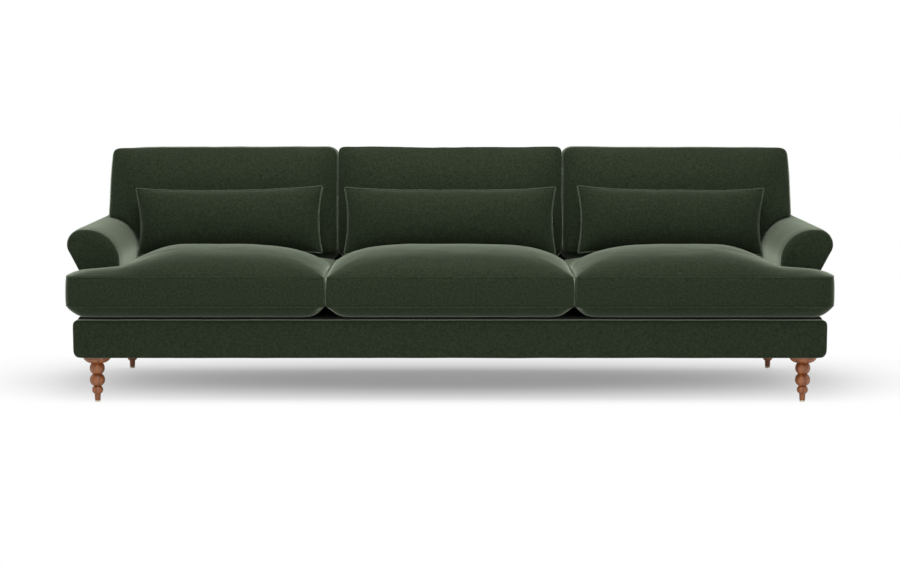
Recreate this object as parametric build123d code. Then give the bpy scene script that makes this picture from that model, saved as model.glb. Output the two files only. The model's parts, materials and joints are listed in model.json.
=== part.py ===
"""Three-seat sofa with low rolled arms, loose cushions and turned wooden legs.

Sizes are in millimetres. +X runs to the right as seen from the front, +Y to the back and +Z up.
The origin lies on the floor under the middle of the sofa.
"""
import os
from math import cos, radians, sin, sqrt, tan

from build123d import *

# Turned leg, from the floor up
glide_height = 5.0
foot_length = 23.0
bead_length = 27.0
lower_ball_length = 42.0
upper_ball_length = 39.0
collar_length = 16.0
collar_rim = 8.0
foot_radius = 9.5
foot_neck_radius = 10.6
bead_radius = 19.3
bead_neck_radius = 11.7
lower_ball_radius = 26.4
ball_neck_radius = 15.0
upper_ball_radius = 26.2
collar_neck_radius = 18.6
collar_radius = 47.0
collar_swell = 3.0
glide_radius = 9.0
leg_inset_side = 70.5
leg_inset_end = 70.0

# Base and deck
seat_width = 2314.0
arm_width = 141.0
frame_depth = 940.0
base_height = 138.0
cover_pad = 12.0
deck_thickness = 12.0
dust_cover_thickness = 2.0
rail_thickness = 32.0
rail_corner_radius = 22.0
rail_edge_radius = 11.0

# Arms
arm_rise = 302.0
arm_setback = 150.0
arm_pad_thickness = 14.0
arm_facing_thickness = 15.0
arm_facing_edge = 9.0
roll_reach = 47.0
roll_outer_radius = 55.0
roll_top_flat = 18.0
roll_tuck_angle = 26.6
stump_thickness = 28.0
rear_stump_gap = 30.0
arm_board_width = 66.0
arm_board_thickness = 22.0
arm_board_drop = 12.0
arm_tack_height = 50.0
arm_tack_thickness = 20.0
arm_tack_lift = 20.0

# Back
back_rise = 502.0
back_side_step = 36.0
outside_rake = 4.5
back_edge_radius = 11.0
post_width = 60.0
post_depth = 60.0
top_rail_height = 48.0
back_tack_lift = 45.0
back_tack_height = 60.0
strap_width = 50.0
strap_thickness = 2.0
strap_lap = 40.0
straps_per_bay = 3

# Springs and fasteners
spring_count = 12
spring_half_loops = 25
spring_wire = 4.0
spring_width = 56.0
spring_drop = 5.0
spring_edge_gap = 100.0
clip_length = 22.0
clip_reach = 10.0
clip_wall = 2.5
cross_rail_height = 78.0
block_size = 64.0
block_height = 40.0
bolt_diameter = 8.0
bolt_in_leg = 36.0
insert_depth = 22.0
insert_diameter = 11.0
insert_flange_diameter = 24.0
insert_flange_thickness = 2.0
bolt_hole_clearance = 0.3
dust_cover_hole = 14.0
screw_diameter = 4.5
screw_head_diameter = 9.0
screw_head_thickness = 3.0
screw_bite = 22.0
screw_end_gap = 11.0
screw_level_gap = 12.0
dowel_diameter = 10.0
dowel_depth = 25.0
wood_clearance = 0.1

# Loose cushions
soft_gap = 0.4
cushion_gap = 2.0
arm_gap = 1.5
pad_gap = 1.2
cushion_rake = 11.0
seat_overhang = 25.0
back_depth = 330.0
seat_back_thickness = 168.0
boxing_height = 145.0
centre_seat_width = 854.0
ear_overhang = 22.0
crown_from_front = 225.0
crown_radius = 410.0
crown_power = 4.5
ear_fall = 0.9
ear_fall_power = 1.4
boxing_bulge = 6.0
seat_lower_radius = 34.0
seat_rear_radius = 20.0
seat_end_inset = 16.0
seat_end_run = 40.0
ear_end_radius = 42.0
rear_drop_share = 0.45
seam_step = 4.0
back_cushion_thickness = 220.0
back_cushion_height = 408.0
back_split_step = 10.0
back_cushion_crown = 28.0
back_cushion_power = 4.0
back_top_radius = 45.0
back_lower_radius = 24.0
back_end_inset = 18.0
back_end_run = 42.0
pillow_thickness = 116.0
pillow_height = 240.0
pillow_draw = 6.0
pillow_seam = 5.0
centre_pillow_length = 770.0
side_pillow_length = 676.0
pillow_arm_gap = 7.0
pillow_end_run = 90.0
pillow_power = 5.0
pillow_gap = 1.2
core_margin = 60.0
core_lift = 28.0
core_thickness = 62.0

# Heights
leg_turning = foot_length + bead_length + lower_ball_length + upper_ball_length + collar_length
leg_height = glide_height + leg_turning + collar_rim
rail_bottom = leg_height + dust_cover_thickness
deck_height = leg_height + base_height
rail_top = deck_height - deck_thickness
arm_height = deck_height + arm_rise
back_height = deck_height + back_rise
seam_height = deck_height + boxing_height
back_seat_height = deck_height + seat_back_thickness

# Half widths
seat_half = seat_width / 2
frame_half = seat_half + arm_width
roll_half = frame_half + roll_reach
back_half = frame_half - back_side_step
rail_half = frame_half - cover_pad
leg_x = frame_half - leg_inset_side
centre_back_width = centre_seat_width - back_split_step

# Depths
rake_slope = tan(radians(outside_rake))
rake_run = (back_height - leg_height) * rake_slope
cushion_cos = cos(radians(cushion_rake))
cushion_sin = sin(radians(cushion_rake))
cushion_slope = tan(radians(cushion_rake))
front_y = seat_overhang - (seat_overhang + frame_depth + rake_run) / 2
rear_y = front_y + frame_depth
seat_front = front_y - seat_overhang
front_rail_back = front_y + cover_pad + rail_thickness
rear_rail_front = rear_y - cover_pad - rail_thickness
arm_front = front_y + arm_setback
stump_front = arm_front + arm_facing_thickness
front_leg_y = front_y + leg_inset_end
rear_leg_y = rear_y - leg_inset_end
far = 2 * (frame_half + frame_depth)
sitting_depth = frame_depth - back_depth

# Lower rear edge of the back cushions, which lean by the cushion rake
back_corner_y = seat_front + sitting_depth + back_cushion_thickness * cushion_cos
back_corner_z = back_seat_height - back_cushion_thickness * cushion_sin

# Roll of the right arm
roll_inner_radius = arm_width + roll_reach - roll_outer_radius - roll_top_flat
roll_inner_centre = (seat_half + roll_inner_radius, arm_height - roll_inner_radius)
roll_outer_centre = (roll_half - roll_outer_radius, arm_height - roll_outer_radius)


def polar(centre, radius, degrees):
    """Point at an angle on a circle."""
    turn = radians(degrees)
    return (centre[0] + radius * cos(turn), centre[1] + radius * sin(turn))


def across(x):
    """Placer for outlines drawn in depth and height at a given width."""
    return lambda y, z: (x, y, z)


def along(y):
    """Placer for outlines drawn in width and height at a given depth."""
    return lambda x, z: (x, y, z)


def flat_face(start, steps, place):
    """Closed face from a start and steps: one point is a line, two are an arc's middle and end."""
    edges = []
    here = start
    for step in steps:
        end = step[-1]
        if len(step) == 1:
            edges.append(Edge.make_line(place(*here), place(*end)))
        else:
            edges.append(Edge.make_three_point_arc(place(*here), place(*step[0]), place(*end)))
        here = end
    return Face(Wire(edges))


def polygon(points, place):
    """Closed face with straight sides."""
    return flat_face(points[0], [(point,) for point in points[1:] + points[:1]], place)


def block(x0, x1, y0, y1, z0, z1):
    """Box between two corners."""
    return Pos((x0 + x1) / 2, (y0 + y1) / 2, (z0 + z1) / 2) * Box(x1 - x0, y1 - y0, z1 - z0)


def bar(points, x0, x1):
    """Straight bar in width with an outline drawn in depth and height."""
    return extrude(polygon(points, across(x0)), amount=x1 - x0, dir=(1, 0, 0))


def rod(start, direction, length, radius):
    """Round rod from a point along a direction."""
    return extrude(Plane(start, z_dir=direction) * Circle(radius), amount=length, dir=direction)


def mirrored(piece):
    """Same piece on the other side of the sofa."""
    return mirror(piece, about=Plane.YZ)


def outside_y(z):
    """Outer face of the raked back at a height."""
    return rear_y + (z - leg_height) * rake_slope


def pad_y(z):
    """Front face of the inside back at a height."""
    return back_corner_y + pad_gap + (z - back_corner_z) * cushion_slope


def raked_bar(x0, x1, z0, z1, front, rear):
    """Bar of the raked back between two distances in from its outer face."""
    corners = [
        (outside_y(z0) - front, z0),
        (outside_y(z1) - front, z1),
        (outside_y(z1) - rear, z1),
        (outside_y(z0) - rear, z0),
    ]
    return bar(corners, x0, x1)


behind_panel = raked_bar(-far, far, -leg_height, back_height + far, cover_pad, -far)


# Legs
def leg_shape():
    """Turned leg about the Z axis with the bore for its bolt."""
    foot_top = glide_height + foot_length
    bead_top = foot_top + bead_length
    lower_top = bead_top + lower_ball_length
    upper_top = lower_top + upper_ball_length
    collar_top = upper_top + collar_length
    collar_middle = (
        (collar_neck_radius + collar_radius) / 2 + collar_swell,
        (upper_top + collar_top) / 2 - collar_swell,
    )
    steps = [
        ((foot_radius, glide_height),),
        ((foot_neck_radius, foot_top),),
        ((bead_radius, (foot_top + bead_top) / 2), (bead_neck_radius, bead_top)),
        ((lower_ball_radius, (bead_top + lower_top) / 2), (ball_neck_radius, lower_top)),
        ((upper_ball_radius, (lower_top + upper_top) / 2), (collar_neck_radius, upper_top)),
        (collar_middle, (collar_radius, collar_top)),
        ((collar_radius, leg_height),),
        ((0.0, leg_height),),
        ((0.0, glide_height),),
    ]
    turned = revolve(flat_face((0.0, glide_height), steps, along(0.0)), axis=Axis.Z)
    bore = rod((0, 0, leg_height - bolt_in_leg), (0, 0, 1), bolt_in_leg, bolt_diameter / 2 + wood_clearance)
    return turned - bore


leg_places = {
    "front_left": (-leg_x, front_leg_y),
    "front_right": (leg_x, front_leg_y),
    "rear_left": (-leg_x, rear_leg_y),
    "rear_right": (leg_x, rear_leg_y),
}
leg = leg_shape()
legs = {name: Pos(x, y, 0) * leg for name, (x, y) in leg_places.items()}
glides = [rod((x, y, 0), (0, 0, 1), glide_height, glide_radius) for x, y in leg_places.values()]

block_top = rail_bottom + block_height
insert_bottom = block_top - insert_depth
bolt_bottom = leg_height - bolt_in_leg
bolt_length = block_top - bolt_bottom
bolt_hole_radius = bolt_diameter / 2 + bolt_hole_clearance
bolts = [
    rod((x, y, bolt_bottom), (0, 0, 1), bolt_length, bolt_diameter / 2) for x, y in leg_places.values()
]


def insert_shape(x, y):
    """Threaded insert with its flange on top of the corner block."""
    barrel = rod((x, y, insert_bottom), (0, 0, 1), insert_depth, insert_diameter / 2)
    flange = rod((x, y, block_top), (0, 0, 1), insert_flange_thickness, insert_flange_diameter / 2)
    hole_length = insert_depth + insert_flange_thickness
    hole = rod((x, y, insert_bottom), (0, 0, 1), hole_length, bolt_diameter / 2 + wood_clearance)
    return barrel + flange - hole


inserts = [insert_shape(x, y) for x, y in leg_places.values()]

# Corner blocks and their screws
inner_corner_x = rail_half - rail_thickness
screw_radius = screw_diameter / 2
screw_length = block_size + screw_bite
screw_low = rail_bottom + screw_level_gap
screw_high = block_top - screw_level_gap


def corner_screws(side, corner_y, inward):
    """Start point and direction of the two screws of one corner block."""
    inner_x = side * (inner_corner_x - block_size)
    inner_y = corner_y + inward * block_size
    side_screw = ((inner_x, inner_y - inward * screw_end_gap, screw_low), (side, 0, 0))
    end_screw = ((inner_x + side * screw_end_gap, inner_y, screw_high), (0, -inward, 0))
    return [side_screw, end_screw]


corners = [
    (side, corner_y, inward)
    for corner_y, inward in ((front_rail_back, 1), (rear_rail_front, -1))
    for side in (-1, 1)
]
screw_lines = [line for corner in corners for line in corner_screws(*corner)]


def screw_shape(start, direction):
    """Round-headed screw whose head lies on the corner block."""
    shank = rod(start, direction, screw_length, screw_radius)
    back = tuple(-step for step in direction)
    return shank + rod(start, back, screw_head_thickness, screw_head_diameter / 2)


screws = [screw_shape(start, direction) for start, direction in screw_lines]
screw_holes = [
    rod(start, direction, screw_length, screw_radius + wood_clearance) for start, direction in screw_lines
]


def corner_block(side, corner_y, inward):
    """Corner block with the holes for the leg's bolt, insert and screws."""
    x_edges = sorted((side * inner_corner_x, side * (inner_corner_x - block_size)))
    y_edges = sorted((corner_y, corner_y + inward * block_size))
    shape = block(*x_edges, *y_edges, rail_bottom, block_top)
    leg_y = front_leg_y if inward > 0 else rear_leg_y
    shape -= rod((side * leg_x, leg_y, rail_bottom), (0, 0, 1), block_height, bolt_hole_radius)
    insert_radius = insert_diameter / 2 + wood_clearance
    shape -= rod((side * leg_x, leg_y, insert_bottom), (0, 0, 1), insert_depth, insert_radius)
    return shape - screw_holes


corner_blocks = [corner_block(*corner) for corner in corners]

# Arm stumps stand on the side rails, each on a dowel
rear_stump_back = outside_y(deck_height) - cover_pad - post_depth - rear_stump_gap
rear_stump_front = rear_stump_back - stump_thickness
dowel_x = rail_half - rail_thickness / 2
stump_dowel_places = [
    (side * dowel_x, y + stump_thickness / 2) for side in (-1, 1) for y in (stump_front, rear_stump_front)
]
post_x = [-back_half + cover_pad, -centre_seat_width / 2 - post_width / 2]
post_x += [-x - post_width for x in reversed(post_x)]
post_dowel_y = rear_rail_front + rail_thickness / 2
post_dowel_places = [(x + post_width / 2, post_dowel_y) for x in post_x]


def dowel(x, y, clearance):
    """Upright dowel half in a rail's top edge."""
    return rod((x, y, rail_top - dowel_depth), (0, 0, 1), 2 * dowel_depth, dowel_diameter / 2 + clearance)


stump_dowels = [dowel(x, y, 0) for x, y in stump_dowel_places]
post_dowels = [dowel(x, y, 0) for x, y in post_dowel_places]
dowel_holes = [dowel(x, y, wood_clearance) for x, y in stump_dowel_places + post_dowel_places]

# Base rails
front_rail = block(-rail_half, rail_half, front_y + cover_pad, front_rail_back, rail_bottom, rail_top)
front_rail -= screw_holes
rear_rail = block(-rail_half, rail_half, rear_rail_front, rear_y - cover_pad, rail_bottom, rail_top)
rear_rail = rear_rail - screw_holes - dowel_holes
side_rail = block(inner_corner_x, rail_half, front_rail_back, rear_rail_front, rail_bottom, rail_top)
side_rail_right = side_rail - screw_holes - dowel_holes
side_rail_left = mirrored(side_rail) - screw_holes - dowel_holes
cross_rails = [
    block(
        side * centre_seat_width / 2 - rail_thickness / 2,
        side * centre_seat_width / 2 + rail_thickness / 2,
        front_rail_back,
        rear_rail_front,
        rail_bottom,
        rail_bottom + cross_rail_height,
    )
    for side in (-1, 1)
]

# Base covers
dust_cover = block(-rail_half, rail_half, front_rail_back, rear_y - cover_pad, leg_height, rail_bottom)
dust_cover -= [
    rod((x, y, leg_height), (0, 0, 1), dust_cover_thickness, dust_cover_hole / 2)
    for x, y in leg_places.values()
]

rail_face_plane = Plane((0, front_y, (leg_height + deck_height) / 2), x_dir=(1, 0, 0), z_dir=(0, -1, 0))
rail_outline = rail_face_plane * RectangleRounded(2 * frame_half, base_height, rail_corner_radius)
front_rail_cover = extrude(rail_outline, amount=cover_pad + rail_thickness, dir=(0, 1, 0))
front_rail_cover = fillet(front_rail_cover.faces().sort_by(Axis.Y)[0].edges(), rail_edge_radius)
front_rail_cover -= block(
    -rail_half, rail_half, front_y + cover_pad, front_rail_back + cover_pad, rail_bottom, rail_top
)

deck = block(-rail_half, rail_half, front_rail_back, stump_front, rail_top, deck_height)
deck += block(-seat_half, seat_half, stump_front, pad_y(deck_height), rail_top, deck_height)


# Arms
def arm_path(inset):
    """Start and steps up the inside of the right arm and over its roll, moved in by an inset."""
    inner = roll_inner_radius - inset
    outer = roll_outer_radius - inset
    tuck = radians(roll_tuck_angle)
    tuck_start = polar(roll_outer_centre, outer, -roll_tuck_angle)
    fall = tuck_start[1] - roll_lip
    start = (seat_half + inset, deck_height)
    steps = [
        ((seat_half + inset, roll_inner_centre[1]),),
        (polar(roll_inner_centre, inner, 135), polar(roll_inner_centre, inner, 90)),
        (polar(roll_outer_centre, outer, 90),),
        (polar(roll_outer_centre, outer, 45 - roll_tuck_angle / 2), tuck_start),
        ((tuck_start[0] - fall * tan(tuck), roll_lip),),
    ]
    return start, steps


tuck_point = polar(roll_outer_centre, roll_outer_radius, -roll_tuck_angle)
roll_lip = tuck_point[1] - (tuck_point[0] - frame_half) / tan(radians(roll_tuck_angle))


def arm_face(inset, bottom, y):
    """Whole outline of the right arm down to a level."""
    start, steps = arm_path(inset)
    lip = steps[-1][-1]
    return flat_face((start[0], bottom), steps + [((lip[0], bottom),), ((start[0], bottom),)], along(y))


def arm_prism(inset, bottom, y0, y1):
    """Right arm as one straight length."""
    return extrude(arm_face(inset, bottom, y0), amount=y1 - y0, dir=(0, 1, 0))


def reversed_steps(start, steps):
    """Same path walked the other way."""
    ends = [start] + [step[-1] for step in steps]
    walked = []
    for step, end in zip(reversed(steps), reversed(ends[:-1])):
        walked.append((end,) if len(step) == 1 else (step[0], end))
    return ends[-1], walked


def arm_pad():
    """Padding of the right arm: up its inside, over the roll and back to the outside panel."""
    start, outer = arm_path(0)
    inner_end, inner = reversed_steps(*arm_path(arm_pad_thickness))
    section = flat_face(start, outer + [(inner_end,)] + inner + [(start,)], along(stump_front))
    pad = extrude(section, amount=frame_depth, dir=(0, 1, 0)) - behind_panel
    post_side = post_x[-1] + post_width + arm_gap
    slot = cover_pad + post_depth + arm_gap
    return pad - raked_bar(0, post_side, deck_height, back_height, slot, 0)


arm_pad_right = arm_pad()
arm_pad_left = mirrored(arm_pad_right)

arm_facing = arm_prism(0, deck_height, arm_front, stump_front)
arm_facing_right = fillet(arm_facing.faces().sort_by(Axis.Y)[0].edges(), arm_facing_edge)
arm_facing_left = mirrored(arm_facing_right)

outside_arm = block(rail_half, frame_half, front_rail_back, far, leg_height, deck_height)
outside_arm += block(rail_half, frame_half, stump_front, far, deck_height, roll_lip)
outside_arm_right = outside_arm - behind_panel
outside_arm_left = mirrored(outside_arm_right)

stumps_right = [
    arm_prism(arm_pad_thickness, rail_top, y, y + stump_thickness) for y in (stump_front, rear_stump_front)
]
stumps = stumps_right + [mirrored(stump) for stump in stumps_right]
arm_stumps = [stump - dowel_holes for stump in stumps]

board_x = (roll_inner_centre[0] + roll_outer_centre[0]) / 2
board_top = arm_height - arm_pad_thickness - arm_board_drop
arm_board = block(
    board_x - arm_board_width / 2,
    board_x + arm_board_width / 2,
    stump_front + stump_thickness,
    rear_stump_front,
    board_top - arm_board_thickness,
    board_top,
)
arm_tack = block(
    seat_half + arm_pad_thickness,
    seat_half + arm_pad_thickness + arm_tack_thickness,
    stump_front + stump_thickness,
    rear_stump_front,
    deck_height + arm_tack_lift,
    deck_height + arm_tack_lift + arm_tack_height,
)

# Back
post_top = back_height - cover_pad - top_rail_height
posts = [
    raked_bar(x, x + post_width, rail_top, post_top, cover_pad + post_depth, cover_pad) - dowel_holes
    for x in post_x
]
top_rail = raked_bar(
    post_x[0], -post_x[0], post_top, back_height - cover_pad, cover_pad + post_depth, cover_pad
)
tack_bottom = deck_height + back_tack_lift
back_tacks = [
    raked_bar(
        left + post_width,
        right,
        tack_bottom,
        tack_bottom + back_tack_height,
        cover_pad + post_depth,
        cover_pad,
    )
    for left, right in zip(post_x, post_x[1:])
]
strap_inset = cover_pad + post_depth
straps = []
for left, right in zip(post_x, post_x[1:]):
    bay_start = left + post_width
    pitch = (right - bay_start) / straps_per_bay
    for number in range(straps_per_bay):
        x = bay_start + (number + 0.5) * pitch
        straps.append(
            raked_bar(
                x - strap_width / 2,
                x + strap_width / 2,
                tack_bottom + back_tack_height - strap_lap,
                post_top + strap_lap,
                strap_inset + strap_thickness,
                strap_inset,
            )
        )

pad_rear = strap_inset + strap_thickness + soft_gap
pad_corners = [
    (pad_y(deck_height), deck_height),
    (pad_y(back_height), back_height),
    (outside_y(back_height) - cover_pad, back_height),
    (outside_y(deck_height) - cover_pad, deck_height),
]
inside_back = bar(pad_corners, -back_half, back_half)
top_edges = inside_back.edges().filter_by(Axis.X).group_by(Axis.Z)[-1].sort_by(Axis.Y)
inside_back = fillet(top_edges[0], back_edge_radius)
inside_back -= raked_bar(
    post_x[0], -post_x[0], deck_height - cover_pad, back_height - cover_pad, pad_rear, -far
)
arm_room = arm_prism(-soft_gap, deck_height - cover_pad, front_y, rear_y + frame_depth)
inside_back = inside_back - arm_room - mirrored(arm_room)

arm_length = arm_prism(0, leg_height, front_y, rear_y + frame_depth)
back_outline = arm_length + mirrored(arm_length)
back_outline += block(-back_half, back_half, front_y, rear_y + frame_depth, leg_height, back_height)
outside_back = back_outline & raked_bar(-far, far, leg_height, back_height, cover_pad, 0)

# Springs
spring_run = rear_rail_front - front_rail_back - clip_reach
spring_turn = spring_run / spring_half_loops / 2
spring_bar = spring_width / 2 - spring_turn - spring_wire / 2
spring_level = rail_top - spring_drop
spring_start = front_rail_back + clip_reach / 2


def spring_shape():
    """Zigzag spring along Y about X zero, one unbroken wire."""
    edges = []
    here = (-spring_bar, spring_start, spring_level)
    side = 1
    for number in range(spring_half_loops + 1):
        end = (side * spring_bar, here[1], spring_level)
        edges.append(Edge.make_line(here, end))
        if number < spring_half_loops:
            middle = (side * (spring_bar + spring_turn), end[1] + spring_turn, spring_level)
            here = (end[0], end[1] + 2 * spring_turn, spring_level)
            edges.append(Edge.make_three_point_arc(end, middle, here))
        side = -side
    first = Plane((-spring_bar, spring_start, spring_level), z_dir=(1, 0, 0))
    return sweep(first * Circle(spring_wire / 2), path=Wire(edges))


def clip_shape(face_y, inward):
    """Clip on a rail's inner face that holds the end bar of a spring."""
    length = min(clip_length, 2 * spring_bar)
    half_height = spring_wire / 2 + clip_wall
    y_edges = sorted((face_y, face_y + inward * clip_reach))
    body = block(-length / 2, length / 2, *y_edges, spring_level - half_height, spring_level + half_height)
    centre_y = face_y + inward * clip_reach / 2
    return body - rod((-length / 2, centre_y, spring_level), (1, 0, 0), length, spring_wire / 2 + soft_gap)


spring = spring_shape()
clips_in_line = [clip_shape(front_rail_back, 1), clip_shape(rear_rail_front, -1)]
spring_pitch = 2 * (seat_half - spring_edge_gap) / (spring_count - 1)
spring_x = [spring_edge_gap - seat_half + number * spring_pitch for number in range(spring_count)]
springs = [Pos(x, 0, 0) * spring for x in spring_x]
clips = [Pos(x, 0, 0) * clip for x in spring_x for clip in clips_in_line]


# Seat cushions
def rounded_end(distance, run):
    """Share of the end inset left at a distance from the end of a cushion."""
    if distance >= run:
        return 0.0
    return 1 - sqrt(1 - (1 - distance / run) ** 2)


def rest_z(y):
    """Height of the sloping top of the seats on which the back cushions rest."""
    return back_corner_z - soft_gap + (back_corner_y - y) * cushion_slope


seat_rear = pad_y(deck_height) - pad_gap
crown_y = seat_front + crown_from_front
crown_end_y = crown_y + crown_radius * cushion_sin
crown_z = rest_z(crown_end_y) + crown_radius * (1 - cushion_cos)
crown_drop = crown_z - seam_height - seam_step
diagonal = 1 - sqrt(0.5)


def seat_section(x, crown, inset):
    """Section of a seat cushion: boxed front, crown and a straight slope to the back."""
    drop = (1 - crown) * crown_drop
    lower = deck_height + soft_gap + inset
    face = seat_front + inset + boxing_bulge
    rear = seat_rear - inset
    seam = seam_height - inset
    peak = (crown_y, crown_z - drop - inset)
    slope_start = (crown_end_y, rest_z(crown_end_y) - drop - inset)
    corner_z = rest_z(rear) - rear_drop_share * drop
    fall = (slope_start[1] - corner_z) / (rear - crown_end_y)
    slope_end = (rear - seat_rear_radius, corner_z + fall * seat_rear_radius)
    rear_top = (rear, corner_z - seat_rear_radius)
    corner_middle = (rear - diagonal * seat_rear_radius, corner_z - diagonal * seat_rear_radius)
    rise = peak[1] - seam
    run = crown_y - face
    front_radius = (run * run + rise * rise) / (2 * rise)
    front_middle_y = (crown_y + face) / 2
    front_middle_z = peak[1] - front_radius + sqrt(front_radius ** 2 - (run / 2) ** 2)
    rear_run = crown_end_y - crown_y
    rear_rise = peak[1] - slope_start[1]
    rear_radius = (rear_run * rear_run + rear_rise * rear_rise) / (2 * rear_rise)
    rear_middle_z = peak[1] - rear_radius + sqrt(rear_radius ** 2 - (rear_run / 2) ** 2)
    lower_front = (face, lower + seat_lower_radius)
    steps = [
        ((rear - seat_rear_radius, lower),),
        (
            (rear - diagonal * seat_rear_radius, lower + diagonal * seat_rear_radius),
            (rear, lower + seat_rear_radius),
        ),
        (rear_top,),
        (corner_middle, slope_end),
        (slope_start,),
        (((crown_y + crown_end_y) / 2, rear_middle_z), peak),
        ((front_middle_y, front_middle_z), (face, seam)),
        ((face - boxing_bulge, (seam + lower_front[1]) / 2), lower_front),
        (
            (face + diagonal * seat_lower_radius, lower + diagonal * seat_lower_radius),
            (face + seat_lower_radius, lower),
        ),
    ]
    return flat_face((face + seat_lower_radius, lower), steps, across(x))


def side_crown(distance, half):
    """Share of the crown at a distance from the sewn side of a cushion."""
    return 1 - max(0.0, 1 - distance / half) ** crown_power


end_steps = (0.0, 0.1, 0.35, 1.0)
inner_steps = (0.3, 0.55)


def end_distances(run, half):
    """Distances from the end of a cushion to its sections, close where the end rounds over."""
    return [step * run for step in end_steps] + [step * half for step in inner_steps]


def centre_seat():
    """Straight seat cushion between the two outer ones."""
    half = centre_seat_width / 2 - cushion_gap / 2
    sections = []
    for distance in end_distances(seat_end_run, half):
        inset = seat_end_inset * rounded_end(distance, seat_end_run)
        sections.append((distance - half, side_crown(distance, half), inset))
    sections.append((0.0, 1.0, 0.0))
    sections += [(-x, crown, inset) for x, crown, inset in reversed(sections[:-1])]
    return loft([seat_section(*section) for section in sections], ruled=True)


def side_seat():
    """Right seat cushion with an ear in front of the arm."""
    start = centre_seat_width / 2 + cushion_gap / 2
    middle = (start + seat_half) / 2
    end = frame_half + ear_overhang
    half = middle - start
    outer = end - middle
    sections = []
    for distance in end_distances(seat_end_run, half):
        inset = seat_end_inset * rounded_end(distance, seat_end_run)
        sections.append((start + distance, side_crown(distance, half), inset))
    sections.append((middle, 1.0, 0.0))
    for distance in reversed(end_distances(ear_end_radius, outer)):
        inset = ear_end_radius * rounded_end(distance, ear_end_radius)
        crown = 1 - ear_fall * (1 - distance / outer) ** ear_fall_power
        sections.append((end - distance, crown, inset))
    cushion = loft([seat_section(*section) for section in sections], ruled=True)
    notch = block(seat_half - arm_gap, far, arm_front - arm_gap, far, 0, far)
    return cushion - notch


core_bottom = deck_height + core_lift
core_front = seat_front + core_margin
core_rear = seat_rear - core_margin


def seat_core(x0, x1):
    """Foam core in a seat cushion."""
    ends = (x0 + core_margin, x1 - core_margin)
    return block(*ends, core_front, core_rear, core_bottom, core_bottom + core_thickness)


centre_start = centre_seat_width / 2
centre_seat_core = seat_core(-centre_start, centre_start)
right_seat_core = seat_core(centre_start, seat_half)
centre_seat_cover = centre_seat() - centre_seat_core
right_seat_cover = side_seat() - right_seat_core


# Back cushions
def leaning(x):
    """Placer for outlines drawn forward and up from the lower rear edge of the back cushions."""
    def place(forward, up):
        y = back_corner_y - forward * cushion_cos + up * cushion_sin
        z = back_corner_z + forward * cushion_sin + up * cushion_cos
        return (x, y, z)
    return place


def back_section(x, crown, inset):
    """Section of a back cushion: flat rear, crowned front and rounded top."""
    front = back_cushion_thickness - back_cushion_crown - inset
    top = back_cushion_height - inset
    low = inset
    rear = inset
    small = back_lower_radius
    large = back_top_radius
    swell = (back_cushion_thickness - back_cushion_crown * (1 - crown) - inset, (top - large + low + small) / 2)
    steps = [
        ((rear + small, low),),
        ((rear + diagonal * small, low + diagonal * small), (rear, low + small)),
        ((rear, top - large),),
        ((rear + diagonal * large, top - diagonal * large), (rear + large, top)),
        ((front - large, top),),
        ((front - diagonal * large, top - diagonal * large), (front, top - large)),
        (swell, (front, low + small)),
        ((front - diagonal * small, low + diagonal * small), (front - small, low)),
    ]
    return flat_face((front - small, low), steps, leaning(x))


def back_cushion(x0, x1):
    """Straight back cushion between two sides."""
    middle = (x0 + x1) / 2
    half = (x1 - x0) / 2
    sections = []
    for distance in end_distances(back_end_run, half):
        inset = back_end_inset * rounded_end(distance, back_end_run)
        crown = 1 - (1 - distance / half) ** back_cushion_power
        sections.append((x0 + distance, max(crown, seam_step / back_cushion_crown), inset))
    sections.append((middle, 1.0, 0.0))
    sections += [(2 * middle - x, crown, inset) for x, crown, inset in reversed(sections[:-1])]
    return loft([back_section(*section) for section in sections], ruled=True)


def back_core(x0, x1):
    """Fibre core in a back cushion."""
    place = leaning(x0 + core_margin)
    low = core_margin
    high = back_cushion_height - core_margin
    rear = (back_cushion_thickness - back_cushion_crown) / 2 - core_thickness / 2
    points = [(rear, low), (rear, high), (rear + core_thickness, high), (rear + core_thickness, low)]
    return extrude(polygon(points, place), amount=x1 - x0 - 2 * core_margin, dir=(1, 0, 0))


back_split = centre_back_width / 2
centre_back_core = back_core(-back_split, back_split)
right_back_core = back_core(back_split, seat_half)
centre_back_cover = back_cushion(cushion_gap / 2 - back_split, back_split - cushion_gap / 2) - centre_back_core
arm_clear = arm_prism(-arm_gap, deck_height, front_y, rear_y + frame_depth)
right_back_cover = back_cushion(back_split + cushion_gap / 2, back_half) - arm_clear - right_back_core

# Lumbar pillows
pillow_forward = back_cushion_thickness + pillow_gap + pillow_thickness / 2


def pillow_section(x, share, tips):
    """Section of a pillow: two swelling faces that meet at sewn edges."""
    low = -pillow_draw * tips
    high = pillow_height - pillow_draw * (1 - tips)
    half_seam = pillow_seam / 2
    half = max(pillow_thickness / 2 * share, 2 * half_seam)
    middle = (low + high) / 2
    rear = pillow_forward - half_seam
    front = pillow_forward + half_seam
    steps = [
        ((pillow_forward - half, middle), (rear, high)),
        ((front, high),),
        ((pillow_forward + half, middle), (front, low)),
        ((rear, low),),
    ]
    return flat_face((rear, low), steps, leaning(x))


def pillow(centre, length):
    """Long pillow with drawn-in edges and pointed corners."""
    half = length / 2
    sections = []
    for distance in end_distances(pillow_end_run, half):
        share = sqrt(1 - max(0.0, 1 - distance / half) ** pillow_power)
        sections.append((centre - half + distance, share, (1 - distance / half) ** 2))
    sections.append((centre, 1.0, 0.0))
    sections += [(2 * centre - x, share, tips) for x, share, tips in reversed(sections[:-1])]
    shape = loft([pillow_section(*section) for section in sections], ruled=True)
    return Pos(0, soft_gap * cushion_sin, soft_gap * cushion_cos) * shape


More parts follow.
